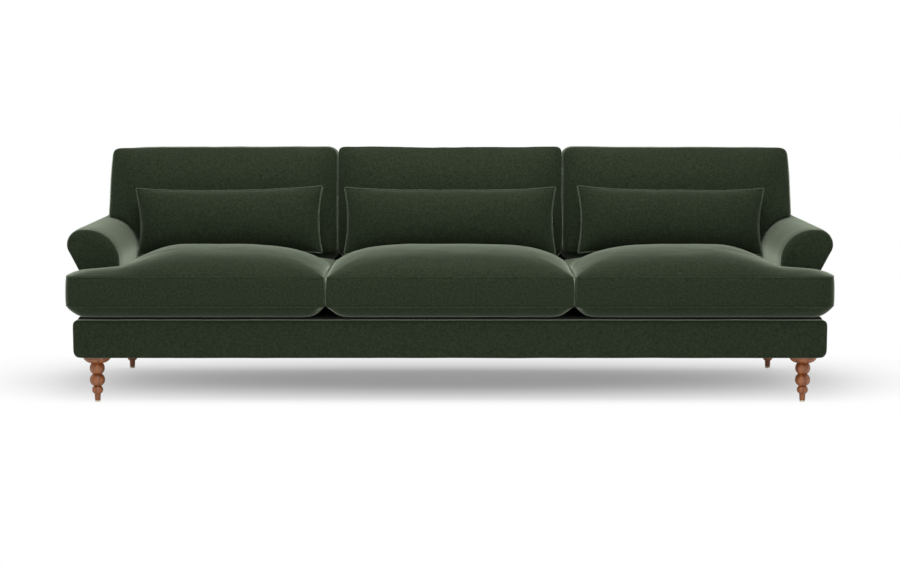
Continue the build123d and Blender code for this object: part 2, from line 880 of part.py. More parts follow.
def pillow_core(centre, length):
    """Fibre core in a pillow."""
    x0 = centre - length / 2 + core_margin
    half = pillow_thickness / 5
    middle = pillow_height / 2
    reach = pillow_height / 2 - core_margin
    points = [
        (pillow_forward - half, middle - reach),
        (pillow_forward - half, middle + reach),
        (pillow_forward + half, middle + reach),
        (pillow_forward + half, middle - reach),
    ]
    return extrude(polygon(points, leaning(x0)), amount=length - 2 * core_margin, dir=(1, 0, 0))


side_pillow_x = seat_half - pillow_arm_gap - side_pillow_length / 2
centre_pillow_core = pillow_core(0, centre_pillow_length)
right_pillow_core = pillow_core(side_pillow_x, side_pillow_length)
centre_pillow_cover = pillow(0, centre_pillow_length) - centre_pillow_core
right_pillow_cover = pillow(side_pillow_x, side_pillow_length) - right_pillow_core

nodes = {
    "front_rail": front_rail,
    "rear_rail": rear_rail,
    "side_rail_left": side_rail_left,
    "side_rail_right": side_rail_right,
    "cross_rails": cross_rails,
    "corner_blocks": corner_blocks,
    "corner_screws": screws,
    "leg_bolts": bolts,
    "leg_inserts": inserts,
    "leg_glides": glides,
    "dust_cover": dust_cover,
    "front_rail_cover": front_rail_cover,
    "seat_deck": deck,
    "seat_springs": springs,
    "spring_clips": clips,
    "arm_stumps": arm_stumps,
    "stump_dowels": stump_dowels,
    "arm_boards": [mirrored(arm_board), arm_board],
    "arm_tack_rails": [mirrored(arm_tack), arm_tack],
    "arm_pad_left": arm_pad_left,
    "arm_pad_right": arm_pad_right,
    "arm_facing_left": arm_facing_left,
    "arm_facing_right": arm_facing_right,
    "outside_arm_left": outside_arm_left,
    "outside_arm_right": outside_arm_right,
    "back_posts": posts,
    "post_dowels": post_dowels,
    "back_top_rail": top_rail,
    "back_tack_rails": back_tacks,
    "back_webbing": straps,
    "inside_back": inside_back,
    "outside_back": outside_back,
    "seat_cushion_left": mirrored(right_seat_cover),
    "seat_cushion_centre": centre_seat_cover,
    "seat_cushion_right": right_seat_cover,
    "seat_core_left": mirrored(right_seat_core),
    "seat_core_centre": centre_seat_core,
    "seat_core_right": right_seat_core,
    "back_cushion_left": mirrored(right_back_cover),
    "back_cushion_centre": centre_back_cover,
    "back_cushion_right": right_back_cover,
    "back_core_left": mirrored(right_back_core),
    "back_core_centre": centre_back_core,
    "back_core_right": right_back_core,
    "lumbar_pillow_left": mirrored(right_pillow_cover),
    "lumbar_pillow_centre": centre_pillow_cover,
    "lumbar_pillow_right": right_pillow_cover,
    "lumbar_core_left": mirrored(right_pillow_core),
    "lumbar_core_centre": centre_pillow_core,
    "lumbar_core_right": right_pillow_core,
}
nodes.update({f"leg_{place}": shape for place, shape in legs.items()})

os.makedirs("parts", exist_ok=True)
for name, shape in nodes.items():
    if isinstance(shape, list):
        shape = Compound(children=[solid for piece in shape for solid in piece.solids()])
    else:
        shape = shape.solid()
    export_step(shape, f"parts/{name}.step")
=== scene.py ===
"""Looks of a three-seat sofa with rolled arms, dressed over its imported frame.

Lengths are in metres. X runs to the right, Y to the back and Z up, with the
origin under the middle of the sofa.
"""

import json
import logging
import math
from dataclasses import dataclass, field
from enum import Enum
from typing import Callable, Sequence

import bmesh
import bpy
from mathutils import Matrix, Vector, noise

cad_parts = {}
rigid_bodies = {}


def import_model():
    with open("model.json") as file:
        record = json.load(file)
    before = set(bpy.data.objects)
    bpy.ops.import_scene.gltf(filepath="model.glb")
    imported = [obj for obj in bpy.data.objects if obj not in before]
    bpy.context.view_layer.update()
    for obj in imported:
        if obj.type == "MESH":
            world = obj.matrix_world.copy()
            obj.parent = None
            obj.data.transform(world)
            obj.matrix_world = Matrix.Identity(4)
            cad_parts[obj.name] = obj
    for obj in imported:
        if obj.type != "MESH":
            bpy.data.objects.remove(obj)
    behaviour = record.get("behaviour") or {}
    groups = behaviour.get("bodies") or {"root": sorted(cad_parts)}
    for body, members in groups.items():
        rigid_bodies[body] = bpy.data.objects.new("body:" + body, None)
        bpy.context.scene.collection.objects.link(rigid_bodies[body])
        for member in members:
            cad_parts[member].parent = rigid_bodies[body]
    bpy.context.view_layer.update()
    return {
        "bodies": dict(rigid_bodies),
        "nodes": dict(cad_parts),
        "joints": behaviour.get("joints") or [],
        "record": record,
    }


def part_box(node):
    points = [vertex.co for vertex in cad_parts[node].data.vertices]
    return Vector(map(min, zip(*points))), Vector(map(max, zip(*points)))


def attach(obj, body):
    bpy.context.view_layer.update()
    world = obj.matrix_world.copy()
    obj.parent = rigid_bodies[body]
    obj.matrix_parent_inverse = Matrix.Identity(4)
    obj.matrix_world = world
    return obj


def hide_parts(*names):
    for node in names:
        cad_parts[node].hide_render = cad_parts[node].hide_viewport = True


log = logging.getLogger("sofa")

Point = tuple[float, float]
Triple = tuple[float, float, float]
Colour = tuple[float, float, float]
Row = tuple[float, float]
Corner = tuple[Point, Point, float]
Depth = Callable[[float, float], float]
Place = Callable[[float, float, float], Vector]

# A distance that counts as none.
FINE = 1e-6


class Side(Enum):
    """Place of a piece across the sofa, as seen from the front."""

    LEFT = -1
    CENTRE = 0
    RIGHT = 1

    @property
    def word(self) -> str:
        """Word for this place in node and body names."""
        return self.name.lower()


class Slot(Enum):
    """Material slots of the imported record."""

    VELVET = "velvet"
    LEG_WOOD = "leg_wood"
    FRAME_WOOD = "frame_wood"
    STEEL = "steel"
    GLIDE = "glide"
    DUST_CLOTH = "dust_cloth"
    DECK_CLOTH = "deck_cloth"
    WEBBING = "webbing"
    FOAM = "foam"
    FIBRE = "fibre"


class Seam(Enum):
    """Kinds of seam: between panel and boxing, or at a knife edge, whose bead gets a lighter velvet as a
    painted highlight.
    """

    BOXED = "boxed"
    KNIFE_EDGE = "knife_edge"


@dataclass(frozen=True)
class Layout:
    """Sizes that the sub-assemblies share.

    Attributes:
        seat_half: Half the width between the arms.
        frame_half: Half the width over the outside arm panels.
        back_half: Half the width of the back over the arms.
        rail_half: Half the width over the wooden frame.
        front_y: Front of the rail.
        seat_front: Front of the seat cushions.
        arm_front: Front of the arms.
        depth: Depth of the frame at its foot.
        leg_height: Height of the legs, then of the deck, the arms and the back.
        cover: Thickness of a padded panel.
        rail_cover: Thickness of the front rail's padding.
        arc_x: Middle of the arm's inner curve, at the height arc_z.
        roll_x: Middle of the arm's outer roll, at the height roll_z.
        lip_z: Height where the roll meets the outside panel.
        tuck: Angle at which the roll ends.
        rest_y: Rear foot of the back cushions, at the height rest_z.
        pad_gap: Room between the back cushions and their pad.
        outside_rake: Lean of the rear.
        cushion_rake: Lean of the back cushions.
        side_step: Largest step up the arm's inner side.
        arc_steps: Steps along its inner curve, roll_steps along its roll, lip_steps to its lip.
    """

    seat_half: float = 1.157
    frame_half: float = 1.298
    back_half: float = 1.262
    rail_half: float = 1.286
    front_y: float = -0.482685
    seat_front: float = -0.507685
    arm_front: float = -0.332685
    depth: float = 0.940
    leg_height: float = 0.160
    deck_height: float = 0.298
    arm_height: float = 0.595
    back_height: float = 0.800
    cover: float = 0.012
    rail_cover: float = 0.044
    arc_x: float = 1.272
    arc_z: float = 0.480
    roll_x: float = 1.290
    roll_z: float = 0.540
    lip_z: float = 0.438
    tuck: float = math.radians(-34.0)
    rest_y: float = 0.318273
    rest_z: float = 0.424022
    pad_gap: float = 0.0012
    outside_rake: float = math.radians(4.5)
    cushion_rake: float = math.radians(11.0)
    side_step: float = 0.03
    arc_steps: int = 18
    roll_steps: int = 20
    lip_steps: int = 4

    def outside_y(self, z: float) -> float:
        """Rear face of the back at a height."""
        return self.front_y + self.depth + (z - self.leg_height) * math.tan(self.outside_rake)

    def pad_y(self, z: float) -> float:
        """Front face of the back pad at a height."""
        return self.rest_y + self.pad_gap + (z - self.rest_z) * math.tan(self.cushion_rake)

    def rest_line(self, y: float) -> float:
        """Height of the line that the back cushions stand on."""
        return self.rest_z + (self.rest_y - y) * math.tan(self.cushion_rake)

    def leaning(self, x: float, up: float, forward: float) -> Vector:
        """Point of a leaning cushion.

        Args:
            x: Distance across the sofa.
            up: Distance up along the back pad from the foot of the cushion.
            forward: Distance in front of the back pad.

        Returns:
            The point in the shared frame.
        """
        sine, cosine = math.sin(self.cushion_rake), math.cos(self.cushion_rake)
        return Vector(
            (x, self.rest_y - forward * cosine + up * sine, self.rest_z + forward * sine + up * cosine)
        )

    def arm_top(self, x: float) -> float:
        """Height of the inner curve of the arm.

        Args:
            x: Place across the sofa.

        Returns:
            The height.
        """
        radius = self.arm_height - self.arc_z
        run = max(0.0, min(self.arc_x - abs(x), radius))
        return self.arc_z + math.sqrt(radius**2 - run**2)

    def arm_profile(self, inset: float) -> list[Point]:
        """Section of the right arm from the seat side over the roll to its lip.

        Args:
            inset: Distance that the section is drawn in by.

        Returns:
            Points (x, z) in order.
        """
        inner = self.seat_half + inset
        heights = spaced([self.deck_height, self.arc_z], self.side_step)
        points = [(inner, z) for z in heights[:-1]]
        radius = self.arm_height - self.arc_z - inset
        for step in range(self.arc_steps + 1):
            angle = math.radians(180 - 90 * step / self.arc_steps)
            points.append((self.arc_x + radius * math.cos(angle), self.arc_z + radius * math.sin(angle)))
        radius = self.arm_height - self.roll_z - inset
        for step in range(self.roll_steps + 1):
            angle = math.pi / 2 + (self.tuck - math.pi / 2) * step / self.roll_steps
            points.append((self.roll_x + radius * math.cos(angle), self.roll_z + radius * math.sin(angle)))
        x, z = points[-1]
        for step in range(1, self.lip_steps + 1):
            part = step / self.lip_steps
            points.append((x + (self.frame_half - inset - x) * part, z + (self.lip_z - z) * part))
        return points


LAYOUT = Layout()


def spaced(stops: Sequence[float], step: float) -> list[float]:
    """Grid lines through every stop, none further apart than a step.

    Args:
        stops: Values that a line must pass through, in order.
        step: Largest distance between two lines.

    Returns:
        The lines in order.
    """
    lines = [stops[0]]
    for start, end in zip(stops, stops[1:]):
        count = max(1, math.ceil((end - start) / step - FINE))
        lines += [start + (end - start) * k / count for k in range(1, count + 1)]
    return lines


def opening(low: float, edge: Sequence[float]) -> list[float]:
    """Stops of a grid at its low end, close together along the edge."""
    return [low, *(low + e for e in edge)]


def closing(high: float, edge: Sequence[float]) -> list[float]:
    """Stops of a grid at its high end, close together along the edge."""
    return [*(high - e for e in reversed(edge)), high]


def margined(low: float, high: float, edge: Sequence[float]) -> list[float]:
    """Stops of a grid that are close together along both of its ends."""
    return opening(low, edge) + closing(high, edge)


def rise(distance: float, reach: float, power: float) -> float:
    """Share of a full crown reached at a distance from its sewn edge."""
    return 1.0 - (1.0 - max(0.0, min(distance / reach, 1.0))) ** power


def swing(value: float, start: float, end: float) -> float:
    """Smooth step from 0 at the start to 1 at the end."""
    part = max(0.0, min((value - start) / (end - start), 1.0))
    return part * part * (3.0 - 2.0 * part)


def rounded(a: float, b: float, corner: Point, inward: Point, radius: float) -> Point:
    """Draws a square corner of a plan into a rounded one.

    Args:
        a: First plan coordinate of the point.
        b: Second plan coordinate of the point.
        corner: The square corner.
        inward: Signs of the directions that lead from the corner into the plan.
        radius: Size of the rounding.

    Returns:
        The moved point, or the same one away from the corner.
    """
    u = 1.0 - (a - corner[0]) * inward[0] / radius
    v = 1.0 - (b - corner[1]) * inward[1] / radius
    most = 1.001
    if u <= 0 or v <= 0 or u > most or v > most:
        return a, b
    fresh_u, fresh_v = u * math.sqrt(1 - v * v / 2), v * math.sqrt(1 - u * u / 2)
    return (
        corner[0] + (1 - fresh_u) * radius * inward[0],
        corner[1] + (1 - fresh_v) * radius * inward[1],
    )


def cornered(a: float, b: float, corners: Sequence[Corner]) -> Point:
    """Rounds the corners of a plan.

    Args:
        a: First plan coordinate of the point.
        b: Second plan coordinate of the point.
        corners: Place, inward signs and radius of each corner.

    Returns:
        The moved point.
    """
    for corner, inward, radius in corners:
        a, b = rounded(a, b, corner, inward, radius)
    return a, b


def rectangle(low: Vector, high: Vector, inset: float = 0.0) -> list[Point]:
    """Outline of a box seen from above, counter-clockwise.

    Args:
        low: Lowest corner of the box.
        high: Highest corner of the box.
        inset: Distance that the outline is drawn in by.

    Returns:
        Its four corners.
    """
    left, right = low.x + inset, high.x - inset
    front, rear = low.y + inset, high.y - inset
    return [(left, front), (right, front), (right, rear), (left, rear)]


def wire(tree: bpy.types.NodeTree, *pairs: tuple[bpy.types.NodeSocket, bpy.types.NodeSocket]) -> None:
    """Links sockets of a node tree, each pair from an output to an input."""
    for source, target in pairs:
        tree.links.new(source, target)


def link(name: str, mesh: bpy.types.Mesh) -> bpy.types.Object:
    """Puts a mesh into the scene as an object at the origin.

    Args:
        name: Name of the object.
        mesh: Its mesh.

    Returns:
        The linked object.
    """
    piece = bpy.data.objects.new(name, mesh)
    bpy.context.scene.collection.objects.link(piece)
    return piece


def mesh_from(name: str, points: Sequence[Vector], faces: Sequence[Sequence[int]]) -> bpy.types.Mesh:
    """Smooth-shaded closed mesh with its faces turned outward.

    Args:
        name: Name of the mesh.
        points: Its vertices.
        faces: Vertex numbers of each face.

    Returns:
        The mesh.
    """
    mesh = bpy.data.meshes.new(name)
    mesh.from_pydata([tuple(p) for p in points], [], [tuple(f) for f in faces])
    work = bmesh.new()
    work.from_mesh(mesh)
    wide = [f for f in work.faces if len(f.verts) > 4]
    bmesh.ops.triangulate(work, faces=wide)
    bmesh.ops.recalc_face_normals(work, faces=work.faces)
    for face in work.faces:
        face.smooth = True
    work.to_mesh(mesh)
    work.free()
    return mesh


def applied(piece: bpy.types.Object) -> bpy.types.Object:
    """Turns an object's modifiers into plain mesh.

    Args:
        piece: Object with live modifiers.

    Returns:
        The same object with its evaluated mesh and no modifiers.
    """
    graph = bpy.context.evaluated_depsgraph_get()
    fresh = bpy.data.meshes.new_from_object(piece.evaluated_get(graph), depsgraph=graph)
    fresh.name = piece.name
    piece.modifiers.clear()
    piece.data = fresh
    return piece


def subdivided(piece: bpy.types.Object, levels: int) -> bpy.types.Object:
    """Smooths a piece by subdivision; its first vertices stay the coarse ones.

    Args:
        piece: The piece.
        levels: Number of subdivisions.

    Returns:
        The same object with its smooth mesh.
    """
    smooth = piece.modifiers.new("smooth", "SUBSURF")
    smooth.levels = smooth.render_levels = levels
    return applied(piece)


def skin(name: str, loops: Sequence[Sequence[Vector]]) -> bpy.types.Object:
    """Closed form through loops of equal length, capped at both ends.

    Args:
        name: Name of the object.
        loops: Loops of points, each closed on itself.

    Returns:
        The linked object.
    """
    count = len(loops[0])
    points = [p for loop in loops for p in loop]
    faces: list[list[int]] = [list(range(count))[::-1]]
    for k in range(len(loops) - 1):
        low, high = k * count, (k + 1) * count
        for n in range(count):
            following = (n + 1) % count
            faces.append([low + n, low + following, high + following, high + n])
    faces.append([(len(loops) - 1) * count + n for n in range(count)])
    return link(name, mesh_from(name, points, faces))


def outward(loop: Sequence[Point]) -> list[Point]:
    """Outward normals of a closed loop that runs counter-clockwise.

    Args:
        loop: Points of the loop.

    Returns:
        A unit normal for each point.
    """
    normals = []
    for k, _ in enumerate(loop):
        before, after = loop[k - 1], loop[(k + 1) % len(loop)]
        run, climb = after[0] - before[0], after[1] - before[1]
        size = math.hypot(run, climb) or 1.0
        normals.append((climb / size, -run / size))
    return normals


def slab(
    name: str, outline: Sequence[Point], rows: Sequence[Row], front: Depth, rear: Depth, place: Place
) -> bpy.types.Object:
    """Panel over an outline with eased edges.

    Args:
        name: Name of the object.
        outline: Plan of the panel, counter-clockwise.
        rows: Pairs of depth share and inset, from the front face to the rear face.
        front: Depth of the front face at a plan point.
        rear: Depth of the rear face at a plan point.
        place: Puts a plan point and a depth into the shared frame.

    Returns:
        The linked object.
    """
    normals = outward(outline)
    loops = []
    for share, inset in rows:
        loop = []
        for (a, b), (na, nb) in zip(outline, normals):
            pa, pb = a - na * inset, b - nb * inset
            loop.append(place(pa, pb, front(pa, pb) * (1 - share) + rear(pa, pb) * share))
        loops.append(loop)
    return skin(name, loops)


@dataclass
class GridForm:
    """Stuffed form of two panels over a grid, joined by a band of rows.

    Attributes:
        us: Grid lines across.
        vs: Grid lines along.
        keep: Tells whether a cell, by its numbers, is part of the form.
        cells: Cells in use.
        loop: Grid points round them, in order.
    """

    us: Sequence[float]
    vs: Sequence[float]
    keep: Callable[[int, int], bool] = lambda i, j: True
    cells: list[tuple[int, int]] = field(init=False)
    loop: list[tuple[int, int]] = field(init=False)

    def __post_init__(self) -> None:
        """Finds the cells in use and the loop of grid points round them."""
        self.cells = [
            (i, j) for i in range(len(self.us) - 1) for j in range(len(self.vs) - 1) if self.keep(i, j)
        ]
        kept = set(self.cells)
        following: dict[tuple[int, int], tuple[int, int]] = {}
        for i, j in self.cells:
            if (i, j - 1) not in kept:
                following[i, j] = (i + 1, j)
            if (i + 1, j) not in kept:
                following[i + 1, j] = (i + 1, j + 1)
            if (i, j + 1) not in kept:
                following[i + 1, j + 1] = (i, j + 1)
            if (i - 1, j) not in kept:
                following[i, j + 1] = (i, j)
        start = min(following)
        self.loop = [start]
        while following[self.loop[-1]] != start:
            self.loop.append(following[self.loop[-1]])

    def build(
        self,
        name: str,
        plan: Callable[[float, float], Point],
        rows: Sequence[Row],
        front: Depth,
        rear: Depth,
        place: Place,
    ) -> tuple[bpy.types.Object, list[list[int]]]:
        """Makes the form.

        Args:
            name: Name of the object.
            plan: Moves a grid point to its place in the plan.
            rows: Pairs of depth share and inset of the band, from front panel to rear panel.
            front: Depth of the front panel at a grid point.
            rear: Depth of the rear panel at a grid point.
            place: Puts a plan point and a depth into the shared frame.

        Returns:
            The linked object and the vertex numbers of each row of the band.
        """
        edge = [(self.us[i], self.vs[j]) for i, j in self.loop]
        spots = [plan(u, v) for u, v in edge]
        normals = outward(spots)
        points: list[Vector] = []
        bands: list[list[int]] = []
        for share, inset in rows:
            bands.append([len(points) + k for k in range(len(edge))])
            for (u, v), (a, b), (na, nb) in zip(edge, spots, normals):
                level = front(u, v) * (1 - share) + rear(u, v) * share
                points.append(place(a - na * inset, b - nb * inset, level))
        faces: list[list[int]] = []
        size = len(edge)
        for k in range(len(rows) - 1):
            for n in range(size):
                m = (n + 1) % size
                faces.append([bands[k][n], bands[k][m], bands[k + 1][m], bands[k + 1][n]])
        for level, band in ((front, bands[0]), (rear, bands[-1])):
            number = dict(zip(self.loop, band))
            for i, j in self.cells:
                corner = []
                for spot in ((i, j), (i + 1, j), (i + 1, j + 1), (i, j + 1)):
                    if spot not in number:
                        number[spot] = len(points)
                        u, v = self.us[spot[0]], self.vs[spot[1]]
                        points.append(place(*plan(u, v), level(u, v)))
                    corner.append(number[spot])
                faces.append(corner)
        return link(name, mesh_from(name, points, faces)), bands


@dataclass(frozen=True)
class Ruffle:
    """Slow unevenness of stuffing and cloth, laid along the normals.

    Attributes:
        height: Largest movement.
        size: Width of one dent.
        seed: Shift of the pattern.
        fine_share: Share of the height in a finer pattern.
        fine_size: Width of its dents, as a share of the size.
    """

    height: float
    size: float
    seed: float
    fine_share: float = 0.4
    fine_size: float = 0.35

    def apply(self, piece: bpy.types.Object, held: float | None = None) -> None:
        """Moves the vertices of a piece.

        Args:
            piece: The piece.
            held: Height below which nothing moves, or None.
        """
        shift = Vector((self.seed, 0.7 * self.seed, 1.3 * self.seed))
        normals = [v.normal.copy() for v in piece.data.vertices]
        for vertex, normal in zip(piece.data.vertices, normals):
            if held is not None and vertex.co.z < held:
                continue
            wave = noise.noise(vertex.co / self.size + shift)
            wave += self.fine_share * noise.noise(vertex.co / (self.fine_size * self.size) + shift)
            vertex.co += normal * (wave * self.height)


@dataclass(frozen=True)
class Stuffing:
    """Cloth simulation that swells a sewn cover over its filling.

    Attributes:
        pressure: Outward pressure.
        stiffness: Stretch and compression stiffness of the cover.
        bending: Bending stiffness of the cover.
        mass: Mass of the cover at a vertex.
        damping: Damping by the air.
        quality: Steps of the simulation in a frame.
        frames: Length of the run.
        cap: Largest movement kept.
    """

    pressure: float = 4.0
    stiffness: float = 15.0
    bending: float = 0.6
    mass: float = 0.3
    damping: float = 2.0
    quality: int = 5
    frames: int = 20
    cap: float = 0.006

    def run(self, piece: bpy.types.Object, held: dict[int, float]) -> None:
        """Swells a piece in place.

        Args:
            piece: Closed coarse mesh.
            held: Pin weight by vertex number.
        """
        group = piece.vertex_groups.new(name="held")
        for number, weight in held.items():
            group.add([number], weight, "REPLACE")
        cloth = piece.modifiers.new("stuffing", "CLOTH")
        cloth.settings.quality = self.quality
        cloth.settings.mass = self.mass
        cloth.settings.air_damping = self.damping
        cloth.settings.tension_stiffness = self.stiffness
        cloth.settings.compression_stiffness = self.stiffness
        cloth.settings.shear_stiffness = self.stiffness / 2
        cloth.settings.bending_stiffness = self.bending
        cloth.settings.use_pressure = True
        cloth.settings.uniform_pressure_force = self.pressure
        cloth.settings.vertex_group_mass = group.name
        cloth.settings.effector_weights.gravity = 0.0
        cloth.collision_settings.use_collision = False
        cloth.point_cache.frame_start = 1
        cloth.point_cache.frame_end = self.frames
        scene = bpy.context.scene
        for frame in range(1, self.frames + 1):
            scene.frame_set(frame)
        graph = bpy.context.evaluated_depsgraph_get()
        swollen = piece.evaluated_get(graph)
        places = [v.co.copy() for v in swollen.data.vertices]
        piece.modifiers.remove(cloth)
        piece.vertex_groups.remove(group)
        scene.frame_set(1)
        most = 0.0
        for vertex, spot in zip(piece.data.vertices, places):
            move = spot - vertex.co
            most = max(most, move.length)
            if move.length > self.cap:
                move *= self.cap / move.length
            vertex.co += move
        log.info("%s: swelled by up to %.1f mm before the cap", piece.name, most * 1000)


class Shader:
    """Short hand for building one node material."""

    def __init__(self, name: str) -> None:
        """Starts an empty material with a Principled shader.

        Args:
            name: Name of the material.
        """
        self.material = bpy.data.materials.new(name)
        self.material.use_nodes = True
        self.tree = self.material.node_tree
        self.surface = self.tree.nodes["Principled BSDF"]
        self.place = self.tree.nodes.new("ShaderNodeTexCoord").outputs["Object"]

    def set(self, **values: float | tuple[float, ...]) -> None:
        """Sets constants on the surface sockets, with _ for spaces in their names."""
        for key, value in values.items():
            self.surface.inputs[key.replace("_", " ")].default_value = value

    def stretched(self, scale: Triple) -> bpy.types.NodeSocket:
        """Object coordinates stretched by a scale on each axis.

        Args:
            scale: Scale on X, Y and Z.

        Returns:
            The vector output.
        """
        mapping = self.tree.nodes.new("ShaderNodeMapping")
        mapping.inputs["Scale"].default_value = scale
        self.tree.links.new(self.place, mapping.inputs["Vector"])
        return mapping.outputs["Vector"]

    def noise(
        self, scale: float, detail: float, vector: bpy.types.NodeSocket | None = None
    ) -> bpy.types.NodeSocket:
        """Noise texture over object coordinates.

        Args:
            scale: Scale of the pattern.
            detail: Number of finer layers.
            vector: Coordinates to use instead.

        Returns:
            The factor output.
        """
        texture = self.tree.nodes.new("ShaderNodeTexNoise")
        texture.inputs["Scale"].default_value = scale
        texture.inputs["Detail"].default_value = detail
        self.tree.links.new(vector or self.place, texture.inputs["Vector"])
        return texture.outputs["Fac"]

    def ramp(
        self, factor: bpy.types.NodeSocket, stops: Sequence[tuple[float, Colour]]
    ) -> bpy.types.NodeSocket:
        """Colour ramp.

        Args:
            factor: What drives the ramp.
            stops: Pairs of position and colour.

        Returns:
            The colour output.
        """
        ramp = self.tree.nodes.new("ShaderNodeValToRGB")
        places = ramp.color_ramp.elements
        while len(places) < len(stops):
            places.new(0.5)
        for element, (position, colour) in zip(places, stops):
            element.position = position
            element.color = (*colour, 1.0)
        self.tree.links.new(factor, ramp.inputs["Fac"])
        return ramp.outputs["Color"]

    def colour(self, socket: bpy.types.NodeSocket) -> None:
        """Feeds the base colour."""
        self.tree.links.new(socket, self.surface.inputs["Base Color"])

    def bump(self, height: bpy.types.NodeSocket, strength: float, distance: float) -> None:
        """Feeds a bump after any bump that is there already.

        Args:
            height: Height of the relief.
            strength: Share of the relief that shows.
            distance: Height of the relief at full strength.
        """
        bump = self.tree.nodes.new("ShaderNodeBump")
        bump.inputs["Strength"].default_value = strength
        bump.inputs["Distance"].default_value = distance
        self.tree.links.new(height, bump.inputs["Height"])
        normal = self.surface.inputs["Normal"]
        if normal.links:
            self.tree.links.new(normal.links[0].from_socket, bump.inputs["Normal"])
        self.tree.links.new(bump.outputs["Normal"], normal)


@dataclass(frozen=True)
class VelvetFinish:
    """Short-pile velvet of two mottled colours, with a tinted sheen at flat angles."""

    name: str = "green_velvet"
    deep: Colour = (0.0095, 0.0150, 0.0070)
    light: Colour = (0.0235, 0.0330, 0.0175)
    sheen: Colour = (0.70, 0.80, 0.62)

    def build(self) -> bpy.types.Material:
        """Makes the material.

        Returns:
            The material.
        """
        shader = Shader(self.name)
        pile = shader.noise(scale=130.0, detail=8.0)
        shader.colour(shader.ramp(pile, [(0.27, self.deep), (0.73, self.light)]))
        shader.set(
            Roughness=0.9,
            Specular_IOR_Level=0.1,
            Sheen_Weight=1.0,
            Sheen_Roughness=0.30,
            Sheen_Tint=(*self.sheen, 1.0),
        )
        shader.bump(shader.noise(scale=24.0, detail=4.0), strength=0.25, distance=0.002)
        shader.bump(shader.noise(scale=700.0, detail=2.0), strength=0.2, distance=0.0006)
        return shader.material


@dataclass(frozen=True)
class WoodFinish:
    """Wood with grain along Z between two colours, bare or under a clear coat."""

    name: str
    dark: Colour
    light: Colour
    roughness: float
    coat: float

    def build(self) -> bpy.types.Material:
        """Makes the material.

        Returns:
            The material.
        """
        shader = Shader(self.name)
        along = shader.stretched((1.0, 1.0, 0.08))
        grain = shader.noise(scale=95.0, detail=6.0, vector=along)
        shader.colour(shader.ramp(grain, [(0.32, self.dark), (0.68, self.light)]))
        shader.set(Roughness=self.roughness, Coat_Weight=self.coat, Coat_Roughness=0.25)
        pores = shader.noise(scale=260.0, detail=4.0, vector=along)
        shader.bump(pores, strength=0.12, distance=0.0006)
        return shader.material


@dataclass(frozen=True)
class PlainFinish:
    """Cloth, foam, metal or plastic of one mottled colour.

    Attributes:
        name: Name of the material.
        dark: Colour of the darker spots.
        light: Colour of the lighter spots.
        roughness: Roughness of the surface.
        metallic: 1 for metal, else 0.
        grain: Scale of the mottling.
        relief: Height of its bump.
    """

    name: str
    dark: Colour
    light: Colour
    roughness: float = 0.8
    metallic: float = 0.0
    grain: float = 300.0
    relief: float = 0.0005

    def build(self) -> bpy.types.Material:
        """Makes the material.

        Returns:
            The material.
        """
        shader = Shader(self.name)
        spots = shader.noise(scale=self.grain, detail=3.0)
        shader.colour(shader.ramp(spots, [(0.35, self.dark), (0.65, self.light)]))
        shader.set(Roughness=self.roughness, Metallic=self.metallic)
        shader.bump(spots, strength=0.3, distance=self.relief)
        return shader.material


class Finishes:
    """Every material of the sofa, by slot."""

    def __init__(self) -> None:
        """Builds the materials."""
        finishes = {
            Slot.VELVET: VelvetFinish(),
            Slot.LEG_WOOD: WoodFinish(
                "turned_wood", (0.15, 0.042, 0.011), (0.37, 0.120, 0.034), roughness=0.35, coat=0.25
            ),
            Slot.FRAME_WOOD: WoodFinish(
                "frame_wood", (0.42, 0.27, 0.15), (0.60, 0.42, 0.25), roughness=0.7, coat=0.0
            ),
            Slot.STEEL: PlainFinish(
                "zinc_steel", (0.42, 0.43, 0.44), (0.6, 0.61, 0.62), roughness=0.35, metallic=1.0
            ),
            Slot.GLIDE: PlainFinish("pale_glide", (0.60, 0.55, 0.40), (0.72, 0.66, 0.50), roughness=0.5),
            Slot.DUST_CLOTH: PlainFinish(
                "black_dust_cloth", (0.008, 0.008, 0.008), (0.02, 0.02, 0.02), roughness=0.9
            ),
            Slot.DECK_CLOTH: PlainFinish(
                "deck_cloth", (0.012, 0.015, 0.011), (0.028, 0.034, 0.026), roughness=0.9
            ),
            Slot.WEBBING: PlainFinish("jute_webbing", (0.22, 0.15, 0.08), (0.40, 0.29, 0.17), roughness=0.9),
            Slot.FOAM: PlainFinish("foam", (0.72, 0.66, 0.45), (0.82, 0.77, 0.58), roughness=0.9),
            Slot.FIBRE: PlainFinish(
                "fibre", (0.70, 0.70, 0.68), (0.85, 0.85, 0.83), roughness=0.95, grain=90.0
            ),
        }
        self.by_slot = {slot: finish.build() for slot, finish in finishes.items()}
        # Lighter copy of the velvet for the knife-edge bead: a painted highlight along the pillow's edge.
        edge = VelvetFinish("green_velvet_edge", (0.035, 0.046, 0.029), (0.070, 0.085, 0.060))
        self.seams = {Seam.BOXED: self.by_slot[Slot.VELVET], Seam.KNIFE_EDGE: edge.build()}

    def dress(self, piece: bpy.types.Object, slot: Slot) -> None:
        """Gives a piece its material.

        Args:
            piece: The piece.
            slot: Its material slot.
        """
        piece.data.materials.clear()
        piece.data.materials.append(self.by_slot[slot])


